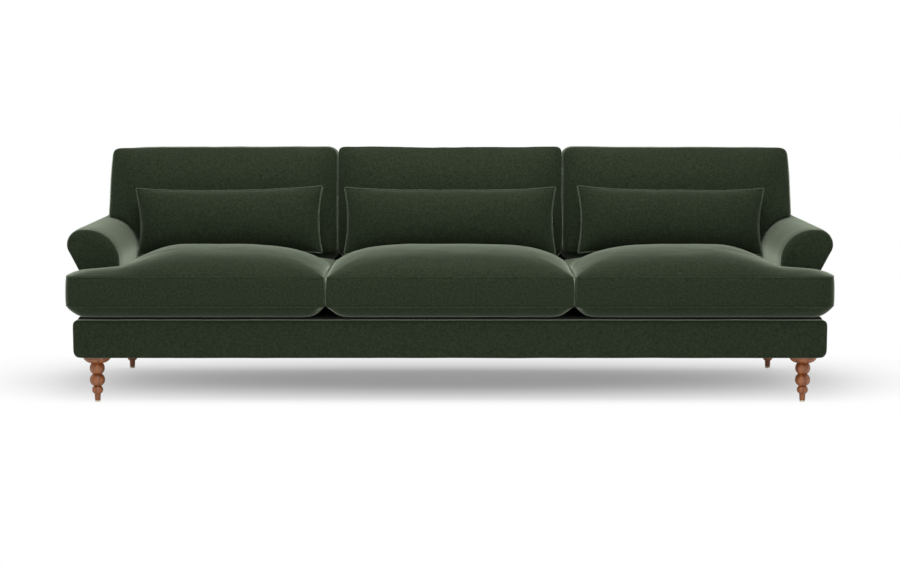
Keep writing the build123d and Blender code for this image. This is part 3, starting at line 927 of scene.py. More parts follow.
class PathTools:
    """Geometry Nodes groups for what follows a path."""

    def __init__(self) -> None:
        """Builds the node groups."""
        self.bead = self.bead_group()
        self.staples = self.staple_group()

    @staticmethod
    def start(name: str, sizes: dict[str, float]) -> bpy.types.GeometryNodeTree:
        """Empty group that takes geometry, a material and sizes.

        Args:
            name: Name of the group.
            sizes: Name and default of each size input.

        Returns:
            The group with its input and output nodes.
        """
        tree = bpy.data.node_groups.new(name, "GeometryNodeTree")
        tree.interface.new_socket("Geometry", in_out="INPUT", socket_type="NodeSocketGeometry")
        for key, value in sizes.items():
            socket = tree.interface.new_socket(key, in_out="INPUT", socket_type="NodeSocketFloat")
            socket.default_value = value
        tree.interface.new_socket("Material", in_out="INPUT", socket_type="NodeSocketMaterial")
        tree.interface.new_socket("Geometry", in_out="OUTPUT", socket_type="NodeSocketGeometry")
        tree.nodes.new("NodeGroupInput")
        tree.nodes.new("NodeGroupOutput")
        return tree

    @staticmethod
    def end(tree: bpy.types.GeometryNodeTree, geometry: bpy.types.NodeSocket) -> None:
        """Realizes instances, sets the material and closes a group.

        Args:
            tree: The group.
            geometry: Output that holds what the group made.
        """
        given = tree.nodes["Group Input"]
        real = tree.nodes.new("GeometryNodeRealizeInstances")
        smooth = tree.nodes.new("GeometryNodeSetShadeSmooth")
        paint = tree.nodes.new("GeometryNodeSetMaterial")
        wire(
            tree,
            (geometry, real.inputs["Geometry"]),
            (real.outputs["Geometry"], smooth.inputs["Geometry"]),
            (smooth.outputs["Geometry"], paint.inputs["Geometry"]),
            (given.outputs["Material"], paint.inputs["Material"]),
            (paint.outputs["Geometry"], tree.nodes["Group Output"].inputs["Geometry"]),
        )

    def bead_group(self) -> bpy.types.GeometryNodeTree:
        """Round bead swept along edges, as a sewn seam stands out.

        Returns:
            The group.
        """
        tree = self.start("seam_bead", {"Radius": 0.0018, "Pitch": 0.008})
        given = tree.nodes["Group Input"]
        path = tree.nodes.new("GeometryNodeMeshToCurve")
        even = tree.nodes.new("GeometryNodeResampleCurve")
        even.mode = "LENGTH"
        ring = tree.nodes.new("GeometryNodeCurvePrimitiveCircle")
        ring.inputs["Resolution"].default_value = 8
        sweep = tree.nodes.new("GeometryNodeCurveToMesh")
        wire(
            tree,
            (given.outputs["Geometry"], path.inputs["Mesh"]),
            (path.outputs["Curve"], even.inputs["Curve"]),
            (given.outputs["Pitch"], even.inputs["Length"]),
            (given.outputs["Radius"], ring.inputs["Radius"]),
            (even.outputs["Curve"], sweep.inputs["Curve"]),
            (ring.outputs["Curve"], sweep.inputs["Profile Curve"]),
        )
        self.end(tree, sweep.outputs["Mesh"])
        return tree

    def staple_group(self) -> bpy.types.GeometryNodeTree:
        """Wire staples at an even pitch, each across its path.

        Returns:
            The group.
        """
        tree = self.start("staple_row", {"Pitch": 0.05, "Width": 0.011, "Wire": 0.0011})
        given = tree.nodes["Group Input"]
        path = tree.nodes.new("GeometryNodeMeshToCurve")
        points = tree.nodes.new("GeometryNodeCurveToPoints")
        points.mode = "LENGTH"
        staple = tree.nodes.new("GeometryNodeMeshCube")
        size = tree.nodes.new("ShaderNodeCombineXYZ")
        spread = tree.nodes.new("GeometryNodeInstanceOnPoints")
        wire(
            tree,
            (given.outputs["Geometry"], path.inputs["Mesh"]),
            (path.outputs["Curve"], points.inputs["Curve"]),
            (given.outputs["Pitch"], points.inputs["Length"]),
            (given.outputs["Wire"], size.inputs["X"]),
            (given.outputs["Width"], size.inputs["Y"]),
            (given.outputs["Wire"], size.inputs["Z"]),
            (size.outputs["Vector"], staple.inputs["Size"]),
            (points.outputs["Points"], spread.inputs["Points"]),
            (points.outputs["Rotation"], spread.inputs["Rotation"]),
            (staple.outputs["Mesh"], spread.inputs["Instance"]),
        )
        self.end(tree, spread.outputs["Instances"])
        return tree

    @staticmethod
    def along(
        name: str,
        loops: Sequence[Sequence[Vector]],
        tree: bpy.types.GeometryNodeTree,
        material: bpy.types.Material,
        closed: bool = True,
        **sizes: float,
    ) -> bpy.types.Object:
        """Runs a group over paths and keeps the result as plain mesh.

        Args:
            name: Name of the object.
            loops: Points of each path.
            tree: The group.
            material: Material of the result.
            closed: Whether each path returns to its start.
            **sizes: Values of the group's size inputs.

        Returns:
            The linked object.
        """
        points: list[Vector] = []
        edges: list[tuple[int, int]] = []
        for loop in loops:
            first, count = len(points), len(loop)
            points += loop
            last = count if closed else count - 1
            edges += [(first + k, first + (k + 1) % count) for k in range(last)]
        mesh = bpy.data.meshes.new(name)
        mesh.from_pydata([tuple(p) for p in points], edges, [])
        piece = link(name, mesh)
        nodes = piece.modifiers.new("path", "NODES")
        nodes.node_group = tree
        for item in tree.interface.items_tree:
            if item.in_out == "INPUT" and item.name in sizes:
                nodes[item.identifier] = sizes[item.name]
            if item.in_out == "INPUT" and item.name == "Material":
                nodes[item.identifier] = material
        return applied(piece)


@dataclass
class Workshop:
    """What every sub-assembly works with.

    Attributes:
        finishes: The materials.
        paths: The groups for seams and staples.
    """

    finishes: Finishes
    paths: PathTools

    def declare(
        self,
        piece: bpy.types.Object,
        body: str,
        slot: Slot,
        nodes: Sequence[str] = (),
        fill: float | None = None,
    ) -> None:
        """Dresses a finished piece and ties it to the frame.

        Args:
            piece: The piece.
            body: Body that it moves with.
            slot: Its material slot.
            nodes: CAD nodes that it stands for.
            fill: How full it is stuffed, or None for a piece that isn't padded; not used.
        """
        self.finishes.dress(piece, slot)
        if nodes:
            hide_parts(*nodes)
        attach(piece, body)
        log.info("%s: %d faces on %s", piece.name, len(piece.data.polygons), body)

    @staticmethod
    def through(mesh: bpy.types.Mesh, loop: Sequence[int], lift: float) -> list[Vector]:
        """Points along a vertex loop, with those that subdivision set between its vertices.

        Args:
            mesh: The mesh, plain or subdivided once.
            loop: Vertex numbers of the coarse loop.
            lift: Height of the path over the mesh.

        Returns:
            Points of the closed path.
        """
        beside: dict[int, set[int]] = {k: set() for k in loop}
        for edge in mesh.edges:
            a, b = edge.vertices
            if a in beside:
                beside[a].add(b)
            if b in beside:
                beside[b].add(a)
        points = []
        for here, following in zip(loop, [*loop[1:], loop[0]]):
            points.append(mesh.vertices[here].co + mesh.vertices[here].normal * lift)
            between = beside[here] & beside[following]
            if following not in beside[here] and between:
                middle = mesh.vertices[min(between)]
                points.append(middle.co + middle.normal * lift)
        return points

    def seam(
        self,
        name: str,
        piece: bpy.types.Object,
        loops: Sequence[Sequence[int]],
        body: str,
        radius: float,
        seam: Seam = Seam.BOXED,
    ) -> None:
        """Sews a bead along vertex loops of a piece.

        Args:
            name: Name of the bead.
            piece: Piece that it lies on.
            loops: Vertex numbers of each loop.
            body: Body that it moves with.
            radius: Radius of the bead.
            seam: Kind of seam, which picks the bead's velvet; a knife edge gets the lighter copy, a painted
                highlight.
        """
        paths = [self.through(piece.data, loop, radius / 2) for loop in loops]
        # For a knife edge this is the lighter velvet, a painted highlight along the seam.
        pile = self.finishes.seams[seam]
        bead = self.paths.along(name, paths, self.paths.bead, pile, Radius=radius)
        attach(bead, body)
        log.info("%s: %d faces", name, len(bead.data.polygons))


@dataclass
class SeatCushion:
    """Boxed seat cushion with a high crown; the outer ones reach in front of the arms.

    Attributes:
        side: Place of the cushion.
        split: Inner side of an outer cushion.
        centre_half: Half the width of the centre cushion.
        ear_end: Outer end of an outer cushion, in front of the arm.
        rear_y: Rear side.
        seam_z: Height of the upper seam.
        lower_seam_z: Height of the lower seam.
        floor_z: Height of the underside.
        crown_y: Place of the crest.
        side_drop: How far the crown falls to its sides.
        centre_power: Fullness of the centre cushion to its sides, inner_power of an outer one.
        ear_step: Share of the crown lost where the ear begins, over ear_step_run.
        ear_slope: Share of the crown lost along the ear, over ear_slope_run.
        recovery: Share of the side drop made up behind the crest, over recovery_run.
        slack: Depth of the top below the line that the back cushions stand on, negative above it.
        rear_seam_drop: Least depth of the upper seam below that line.
        roll_off: Run over which the top falls to a sewn edge, ear_roll_off at the ear's end.
        under_run: Run over which the underside rises to the lower seam, with under_power.
        hollow: Depth of the dip behind an inner front corner; hollow_in to hollow_across are its runs.
        gap: Room to the arm.
        inner_corner: Plan radius in front where two cushions meet, then those of the other corners.
        edge_lines: Distances of the close grid lines from an edge, past_notch after the notch.
        grid_step: Largest width of a grid cell.
        band_rows: Depth share and inset of each row of the boxing.
        seam_radius: Radius of the seam beads.
        stuffing: The swelling of the cover.
        fill: How full it is stuffed.
    """

    side: Side
    split: float = 0.4283
    centre_half: float = 0.4257
    ear_end: float = 1.326
    rear_y: float = 0.29377
    seam_z: float = 0.444
    lower_seam_z: float = 0.341
    floor_z: float = 0.2990
    crown_y: float = -0.204
    side_drop: float = 0.086
    centre_power: float = 3.5
    inner_power: float = 2.5
    ear_step: float = 0.5
    ear_step_run: Point = (0.31, 0.67)
    ear_slope: float = 0.3
    ear_slope_run: Point = (0.4, 1.0)
    recovery: float = 0.6
    recovery_run: float = 0.4
    slack: float = -0.0025
    rear_seam_drop: float = 0.012
    roll_off: float = 0.03
    ear_roll_off: float = 0.055
    under_run: float = 0.06
    under_power: float = 1.9
    hollow: float = 0.012
    hollow_in: Point = (0.0, 0.02)
    hollow_out: Point = (0.022, 0.06)
    hollow_down: float = 0.008
    hollow_across: float = 0.06
    gap: float = 0.0015
    inner_corner: float = 0.006
    ear_corner: float = 0.06
    ear_rear_corner: float = 0.05
    rear_corner: float = 0.04
    edge_lines: tuple[float, ...] = (0.008, 0.022, 0.045)
    grid_step: float = 0.026
    past_notch: float = 0.02
    band_rows: tuple[Row, ...] = (
        (0.0, 0.003), (0.12, 0.001), (0.35, -0.0005), (0.65, -0.0005), (0.88, -0.0005), (1.0, 0.001),
    )
    seam_radius: float = 0.0014
    stuffing: Stuffing = Stuffing(cap=0.006)
    fill: float = 0.8

    @property
    def notch(self) -> Point:
        """Inner corner of the notch that the arm stands in."""
        return LAYOUT.seat_half - self.gap, LAYOUT.arm_front - self.gap

    def crown(self, x: float) -> float:
        """Share of the full crown across the cushion.

        Args:
            x: Place across the sofa.

        Returns:
            The share, 1 at the crest.
        """
        if self.side is Side.CENTRE:
            return math.sqrt(rise(self.centre_half - abs(x), self.centre_half, self.centre_power))
        middle = (self.split + LAYOUT.seat_half) / 2
        if x < middle:
            return math.sqrt(rise(x - self.split, middle - self.split, self.inner_power))
        part = (x - middle) / (self.ear_end - middle)
        left = 1.0 - self.ear_step * swing(part, *self.ear_step_run)
        return left - self.ear_slope * swing(part, *self.ear_slope_run)

    def body_line(self, x: float, y: float) -> float:
        """Height of the stuffed top before its edges are sewn down.

        Args:
            x: Place across the sofa.
            y: Place along its depth.

        Returns:
            The height: a quarter ellipse up to the crest, then the line under the back cushions.
        """
        drop = self.side_drop * (1.0 - self.crown(x))
        if y > self.crown_y:
            kept = 1.0 - self.recovery * rise(y - self.crown_y, self.recovery_run, 1.0)
            return LAYOUT.rest_line(y) - drop * kept - self.slack
        peak = LAYOUT.rest_line(self.crown_y) - drop - self.slack
        part = rise(y - LAYOUT.seat_front, self.crown_y - LAYOUT.seat_front, 2.0)
        return self.seam_z + (peak - self.seam_z) * math.sqrt(part)

    def edge_z(self, y: float) -> float:
        """Height of the upper seam."""
        return min(self.seam_z, LAYOUT.rest_line(y) - self.rear_seam_drop)

    def edges(self, x: float, y: float) -> list[tuple[float, float]]:
        """Sewn edges round a point.

        Args:
            x: Place across the sofa.
            y: Place along its depth.

        Returns:
            Distance to each edge with the reach of its roll-off.
        """
        found = [(y - LAYOUT.seat_front, 0.0), (self.rear_y - y, self.roll_off)]
        if self.side is Side.CENTRE:
            return found + [(self.centre_half - abs(x), 0.0)]
        notch_x, notch_y = self.notch
        found += [(x - self.split, 0.0), (self.ear_end - x, self.ear_roll_off)]
        if y > notch_y - FINE:
            found.append((notch_x - x, self.roll_off))
        elif x > notch_x - FINE:
            found.append((notch_y - y, self.roll_off))
        else:
            found.append((math.hypot(notch_x - x, notch_y - y), self.roll_off))
        return found

    def top(self, x: float, y: float) -> float:
        """Height of the top panel.

        Args:
            x: Place across the sofa.
            y: Place along its depth.

        Returns:
            The height, at the seam along every edge.
        """
        seam = self.edge_z(y)
        share = 1.0
        for distance, reach in self.edges(x, y):
            if distance < FINE:
                return seam
            if reach:
                share *= rise(distance, reach, 2.0)
        return max(seam, seam + (self.body_line(x, y) - seam) * share)

    def bottom(self, x: float, y: float) -> float:
        """Height of the bottom panel, flat on the deck and drawn up to the lower seam.

        Args:
            x: Place across the sofa.
            y: Place along its depth.

        Returns:
            The height.
        """
        share = 1.0
        for distance, _ in self.edges(x, y):
            share *= rise(distance, self.under_run, self.under_power)
        return self.floor_z + (self.lower_seam_z - self.floor_z) * (1.0 - share)

    def corners(self) -> list[Corner]:
        """Corners of the plan.

        Returns:
            Place, inward signs and radius of each rounded corner.
        """
        front, rear = LAYOUT.seat_front, self.rear_y
        if self.side is Side.CENTRE:
            return [
                ((-self.centre_half, front), (1, 1), self.inner_corner),
                ((self.centre_half, front), (-1, 1), self.inner_corner),
                ((-self.centre_half, rear), (1, -1), self.rear_corner),
                ((self.centre_half, rear), (-1, -1), self.rear_corner),
            ]
        notch_x, notch_y = self.notch
        return [
            ((self.split, front), (1, 1), self.inner_corner),
            ((self.ear_end, front), (-1, 1), self.ear_corner),
            ((self.ear_end, notch_y), (-1, -1), self.ear_rear_corner),
            ((notch_x, rear), (-1, -1), self.rear_corner),
            ((self.split, rear), (1, -1), self.rear_corner),
        ]

    def plan(self, x: float, y: float) -> Point:
        """Plan with rounded corners."""
        return cornered(x, y, self.corners())

    def place(self, x: float, y: float, z: float) -> Vector:
        """Puts a point on its side of the sofa, hollowed below the seam where two cushions meet.

        Args:
            x: Place across the sofa.
            y: Place along its depth.
            z: Height.

        Returns:
            The point in the shared frame.
        """
        if self.side is Side.CENTRE:
            return Vector((x, y, z))
        behind = y - LAYOUT.seat_front
        deep = swing(behind, *self.hollow_in) * (1.0 - swing(behind, *self.hollow_out))
        deep *= swing(self.seam_z - z, 0.0, self.hollow_down)
        x += self.hollow * deep * (1.0 - swing(x - self.split, 0.0, self.hollow_across))
        return Vector((-x if self.side is Side.LEFT else x, y, z))

    def form(self) -> GridForm:
        """Grid of the cushion, with close lines along its edges and a notch for the arm.

        Returns:
            The grid, yet without heights.
        """
        front, rear, edge = LAYOUT.seat_front, self.rear_y, self.edge_lines
        if self.side is Side.CENTRE:
            across = spaced(margined(-self.centre_half, self.centre_half, edge), self.grid_step)
            return GridForm(across, spaced(margined(front, rear, edge), self.grid_step))
        notch_x, notch_y = self.notch
        stops = margined(self.split, notch_x, edge) + [notch_x + self.past_notch]
        across = spaced(stops + closing(self.ear_end, edge), self.grid_step)
        stops = margined(front, notch_y, edge) + [notch_y + self.past_notch]
        along = spaced(stops + closing(rear, edge), self.grid_step)
        return GridForm(
            across, along, lambda i, j: across[i] < notch_x - FINE or along[j] < notch_y - FINE
        )

    def build(self, shop: Workshop) -> None:
        """Makes the cushion, its seams and its declarations.

        Args:
            shop: What it is made with.
        """
        name, body = f"seat_cushion_{self.side.word}", f"seat_{self.side.word}"
        piece, bands = self.form().build(
            f"{name}_cover", self.plan, self.band_rows, self.top, self.bottom, self.place
        )
        held = {k: 1.0 for band in bands for k in band}
        held.update({v.index: 1.0 for v in piece.data.vertices if v.co.z < self.lower_seam_z})
        self.stuffing.run(piece, held)
        subdivided(piece, 1)
        ruffle = Ruffle(height=0.0012, size=0.10, seed=3.0 + self.side.value)
        ruffle.apply(piece, held=self.floor_z + 0.02)
        shop.seam(f"{name}_seams", piece, [bands[0], bands[-1]], body, self.seam_radius)
        shop.declare(piece, body, Slot.VELVET, [name], self.fill)


@dataclass
class BackCushion:
    """Leaning back cushion with a soft front; the outer ones reach over the arms.

    Attributes:
        side: Place of the cushion.
        split: Inner side of an outer cushion.
        centre_half: Half the width of the centre cushion.
        height: Height along the back.
        thickness: Thickness without the crown.
        crown: How far the middle of the front stands out over that.
        foot: Room under the cushion.
        notch_up: Height of the grid line at which the part over the arm begins.
        gap: Room to the arm.
        front_draw: How far the front is drawn back from the thickness at its seam.
        side_run: Run of the front's swelling from the sides, top_run from the top, foot_run from the foot.
        front_power: Fullness of the front.
        foot_share: Share of the swelling at the foot.
        rear_clear: Room to the back pad.
        rear_draw: How far the rear panel is drawn in at its seam.
        rear_side_run: Run of the rear panel from the sides, rear_top_run from the top.
        flare: How far the end over the arm widens downward.
        outer_lift: Rise of an outer cushion's upper edge to its neighbour.
        centre_lift: Rise of the centre cushion's upper edge, centre_wave more at its ends.
        outer_swell: Inset of the outer cushions' sides, centre_swell for the centre one.
        corner: Upper plan radius of an outer cushion's inner corner, then those of the other corners.
        edge_lines: Distances of the close grid lines from an edge.
        before_notch: Distance of the last grid line before the notch, past_notch of the next one.
        across_step: Largest width of a grid cell, along_step its largest height.
        seam_radius: Radius of the seam beads.
        pinned: Depth of the rear that the swelling leaves alone.
        stuffing: The swelling of the cover.
        fill: How full it is stuffed.
    """

    side: Side
    split: float = 0.423
    centre_half: float = 0.421
    height: float = 0.408
    thickness: float = 0.192
    crown: float = 0.028
    foot: float = 0.003
    notch_up: float = 0.055
    gap: float = 0.002
    front_draw: float = 0.018
    side_run: float = 0.16
    top_run: float = 0.13
    foot_run: float = 0.08
    front_power: float = 2.4
    foot_share: float = 0.35
    rear_clear: float = 0.001
    rear_draw: float = 0.014
    rear_side_run: float = 0.06
    rear_top_run: float = 0.05
    flare: float = 0.012
    outer_lift: float = 0.004
    centre_lift: float = 0.0035
    centre_wave: float = 0.003
    outer_swell: float = -0.0085
    centre_swell: float = 0.0005
    corner: float = 0.034
    end_corner: float = 0.026
    centre_corner: float = 0.024
    foot_corner: float = 0.03
    edge_lines: tuple[float, ...] = (0.010, 0.028, 0.055)
    before_notch: float = 0.03
    past_notch: float = 0.02
    across_step: float = 0.026
    along_step: float = 0.024
    seam_radius: float = 0.0009
    pinned: float = 0.05
    stuffing: Stuffing = Stuffing(cap=0.008)
    fill: float = 0.6

    @property
    def outer(self) -> bool:
        """Whether the cushion reaches over an arm."""
        return self.side is not Side.CENTRE

    @property
    def low(self) -> float:
        """Inner side, or the left side of the centre cushion."""
        return self.split if self.outer else -self.centre_half

    @property
    def high(self) -> float:
        """Outer side, or the right side of the centre cushion."""
        return LAYOUT.back_half if self.outer else self.centre_half

    @property
    def notch_x(self) -> float:
        """Where the part over the arm begins."""
        return LAYOUT.seat_half - self.gap

    def lifted(self, x: float, up: float, forward: float) -> float:
        """Height of a grid point, squeezed upward where the arm is below.

        Args:
            x: Place across the sofa.
            up: Distance up along the back.
            forward: Distance in front of the back pad.

        Returns:
            The distance up that the point gets.
        """
        if not self.outer or x < self.notch_x - FINE:
            return up
        arm = LAYOUT.arm_top(x) + self.gap
        lift = arm - LAYOUT.rest_z - forward * math.sin(LAYOUT.cushion_rake)
        base = max(self.foot, lift / math.cos(LAYOUT.cushion_rake))
        return base + (self.height - base) * (up - self.notch_up) / (self.height - self.notch_up)

    def wave(self, x: float, up: float) -> float:
        """Lift of the upper edge towards the neighbouring cushion.

        Args:
            x: Place across the sofa.
            up: Distance up along the back.

        Returns:
            The lift.
        """
        if self.outer:
            lift = self.outer_lift * ((self.high - x) / (self.high - self.low))
        else:
            lift = self.centre_lift + self.centre_wave * (abs(x) / self.high) ** 2
        return lift * swing(up, 0.5 * self.height, self.height)

    def plan(self, x: float, up: float) -> Point:
        """Plan with rounded corners, flared over the arm.

        Args:
            x: Place across the sofa.
            up: Distance up along the back.

        Returns:
            The moved point.
        """
        low, high, top = self.low, self.high, self.height
        corners = [
            ((low, top), (1, -1), self.corner if self.outer else self.centre_corner),
            ((high, top), (-1, -1), self.end_corner if self.outer else self.centre_corner),
            ((low, self.foot), (1, 1), self.foot_corner),
            ((high, self.foot), (-1, 1), self.foot_corner),
        ]
        x, up = cornered(x, up, corners)
        if self.outer and x > self.notch_x:
            x += self.flare * (1.0 - (up / top) ** 2) * ((x - self.notch_x) / (high - self.notch_x)) ** 2
        return x, up

    def front(self, x: float, up: float) -> float:
        """Distance of the front panel from the back pad.

        Args:
            x: Place across the sofa.
            up: Distance up along the back.

        Returns:
            The distance.
        """
        power = self.front_power
        share = rise(x - self.low, self.side_run, power) * rise(self.high - x, self.side_run, power)
        swollen = self.foot_share + (1.0 - self.foot_share) * rise(up, self.foot_run, 2.0)
        share *= rise(self.height - up, self.top_run, power) * swollen
        return self.thickness - self.front_draw + (self.crown + self.front_draw) * share

    def rear(self, x: float, up: float) -> float:
        """Distance of the rear panel from the back pad.

        Args:
            x: Place across the sofa.
            up: Distance up along the back.

        Returns:
            The distance.
        """
        run = self.rear_side_run
        share = rise(x - self.low, run, 2.0) * rise(self.high - x, run, 2.0)
        share *= rise(self.height - up, self.rear_top_run, 2.0)
        return self.rear_clear + self.rear_draw * (1.0 - share)

    def place(self, x: float, up: float, forward: float) -> Vector:
        """Point in the shared frame, on the cushion's side of the sofa."""
        across = -x if self.side is Side.LEFT else x
        return LAYOUT.leaning(across, self.lifted(x, up, forward) + self.wave(x, up), forward)

    def form(self) -> GridForm:
        """Grid of the cushion, with close lines along its edges.

        Returns:
            The grid, without the cells where the arm is.
        """
        edge, notch_x = self.edge_lines, self.notch_x
        if self.outer:
            stops = opening(self.low, edge)
            stops += [notch_x - self.before_notch, notch_x, notch_x + self.past_notch]
            stops += closing(self.high, edge[:2])
        else:
            stops = margined(self.low, self.high, edge)
        across = spaced(stops, self.across_step)
        stops = opening(self.foot, edge[:2]) + [self.notch_up] + closing(self.height, edge)
        along = spaced(stops, self.along_step)
        start = along.index(self.notch_up)
        if not self.outer:
            return GridForm(across, along)
        return GridForm(across, along, lambda i, j: across[i] < notch_x - FINE or j >= start)

    def build(self, shop: Workshop) -> None:
        """Makes the cushion, its seams and its declarations.

        Args:
            shop: What it is made with.
        """
        name, body = f"back_cushion_{self.side.word}", f"back_{self.side.word}"
        swell = self.outer_swell if self.outer else self.centre_swell
        rows = [(0.0, 0.008), (0.03, 0.003), (0.09, 0.0005), (0.25, swell), (0.5, swell)]
        rows += [(0.7, swell), (0.86, 0.001), (0.95, 0.005), (1.0, 0.012)]
        piece, bands = self.form().build(
            f"{name}_cover", self.plan, rows, self.front, self.rear, self.place
        )
        held = {k: 1.0 for band in bands for k in band}
        for v in piece.data.vertices:
            if v.co.y > LAYOUT.pad_y(v.co.z) - self.pinned:
                held[v.index] = 1.0
        self.stuffing.run(piece, held)
        subdivided(piece, 1)
        Ruffle(height=0.0022, size=0.13, seed=11.0 + self.side.value).apply(piece)
        shop.seam(f"{name}_seams", piece, [bands[1], bands[-2]], body, self.seam_radius)
        shop.declare(piece, body, Slot.VELVET, [name], self.fill)


@dataclass
class LumbarPillow:
    """Long pillow of two panels sewn at a knife edge, with drawn-in sides.

    Attributes:
        side: Place of the pillow.
        inner: Inner end of an outer pillow.
        outer: Its outer end.
        centre_half: Half the width of the centre pillow.
        height: Height along the back.
        middle: Distance of its middle from the back pad.
        base_lift: Height of its foot over the line that the back cushions stand on, negative below it.
        thickness: Thickness in the middle.
        edge_half: Least half thickness.
        end_draw: How far the ends are drawn in, long_draw for the long sides.
        arm_draw: How much more the end at the arm is drawn in at its foot.
        tilt: Fall of the end at the arm, as half the height between both ends.
        edge_lines: Distances of the close grid lines from an edge.
        across_step: Largest width of a grid cell, along_step its largest height.
        seam_radius: Radius of the seam bead.
        stuffing: The swelling of the cover.
        fill: How full it is stuffed.
    """

    side: Side
    inner: float = 0.470
    outer: float = 1.158
    centre_half: float = 0.390
    height: float = 0.250
    middle: float = 0.2792
    base_lift: float = -0.006
    thickness: float = 0.116
    edge_half: float = 0.002
    end_draw: float = 0.015
    long_draw: float = 0.013
    arm_draw: float = 0.010
    tilt: float = 0.0045
    edge_lines: tuple[float, ...] = (0.006, 0.018, 0.04)
    across_step: float = 0.02
    along_step: float = 0.016
    seam_radius: float = 0.0028
    stuffing: Stuffing = Stuffing(pressure=3.0, cap=0.006)
    fill: float = 0.6

    @property
    def half(self) -> float:
        """Half the width of the pillow."""
        return self.centre_half if self.side is Side.CENTRE else (self.outer - self.inner) / 2

    @property
    def tall(self) -> float:
        """Half the height of the pillow."""
        return self.height / 2

    def plan(self, x: float, up: float) -> Point:
        """Plan with drawn-in sides and pointed corners.

        Args:
            x: Distance from the middle of the pillow.
            up: Height over the middle of the pillow.

        Returns:
            The moved point.
        """
        u, v = x / self.half, up / self.tall
        drawn_x = self.end_draw * (1 - v * v) * abs(u) ** 3
        drawn_up = self.long_draw * (1 - u**4) * abs(v) ** 3
        at_arm = self.side.value * u
        drawn_x += self.arm_draw * max(0.0, at_arm) ** 3 * (1.0 - swing(v, -1.0, 1.0))
        return x - math.copysign(drawn_x, x), up - math.copysign(drawn_up, up) - self.tilt * at_arm

    def swell(self, x: float, up: float) -> float:
        """Half the thickness at a point of the plan."""
        u, v = abs(x / self.half), abs(up / self.tall)
        return max(self.edge_half, self.thickness / 2 * ((1 - u**5) * (1 - v**2.2)) ** 0.62)

    def place(self, x: float, up: float, forward: float) -> Vector:
        """Point in the shared frame."""
        centre = self.side.value * (self.outer + self.inner) / 2
        return LAYOUT.leaning(centre + x, up + self.tall + self.base_lift, self.middle + forward)

    def build(self, shop: Workshop) -> None:
        """Makes the pillow, its seam and its declarations.

        Args:
            shop: What it is made with.
        """
        name, body = f"lumbar_pillow_{self.side.word}", f"lumbar_{self.side.word}"
        across = spaced(margined(-self.half, self.half, self.edge_lines), self.across_step)
        along = spaced(margined(-self.tall, self.tall, self.edge_lines), self.along_step)
        piece, bands = GridForm(across, along).build(
            f"{name}_cover",
            self.plan,
            [(0.0, 0.0), (1.0, 0.0)],
            self.swell,
            lambda x, up: -self.swell(x, up),
            self.place,
        )
        self.stuffing.run(piece, {k: 1.0 for band in bands for k in band})
        subdivided(piece, 1)
        Ruffle(height=0.0016, size=0.09, seed=23.0 + self.side.value).apply(piece)
        # The knife-edge bead takes the lighter velvet, a painted highlight round the pillow.
        shop.seam(f"{name}_seam", piece, [bands[0]], body, self.seam_radius, Seam.KNIFE_EDGE)
        shop.declare(piece, body, Slot.VELVET, [name], self.fill)


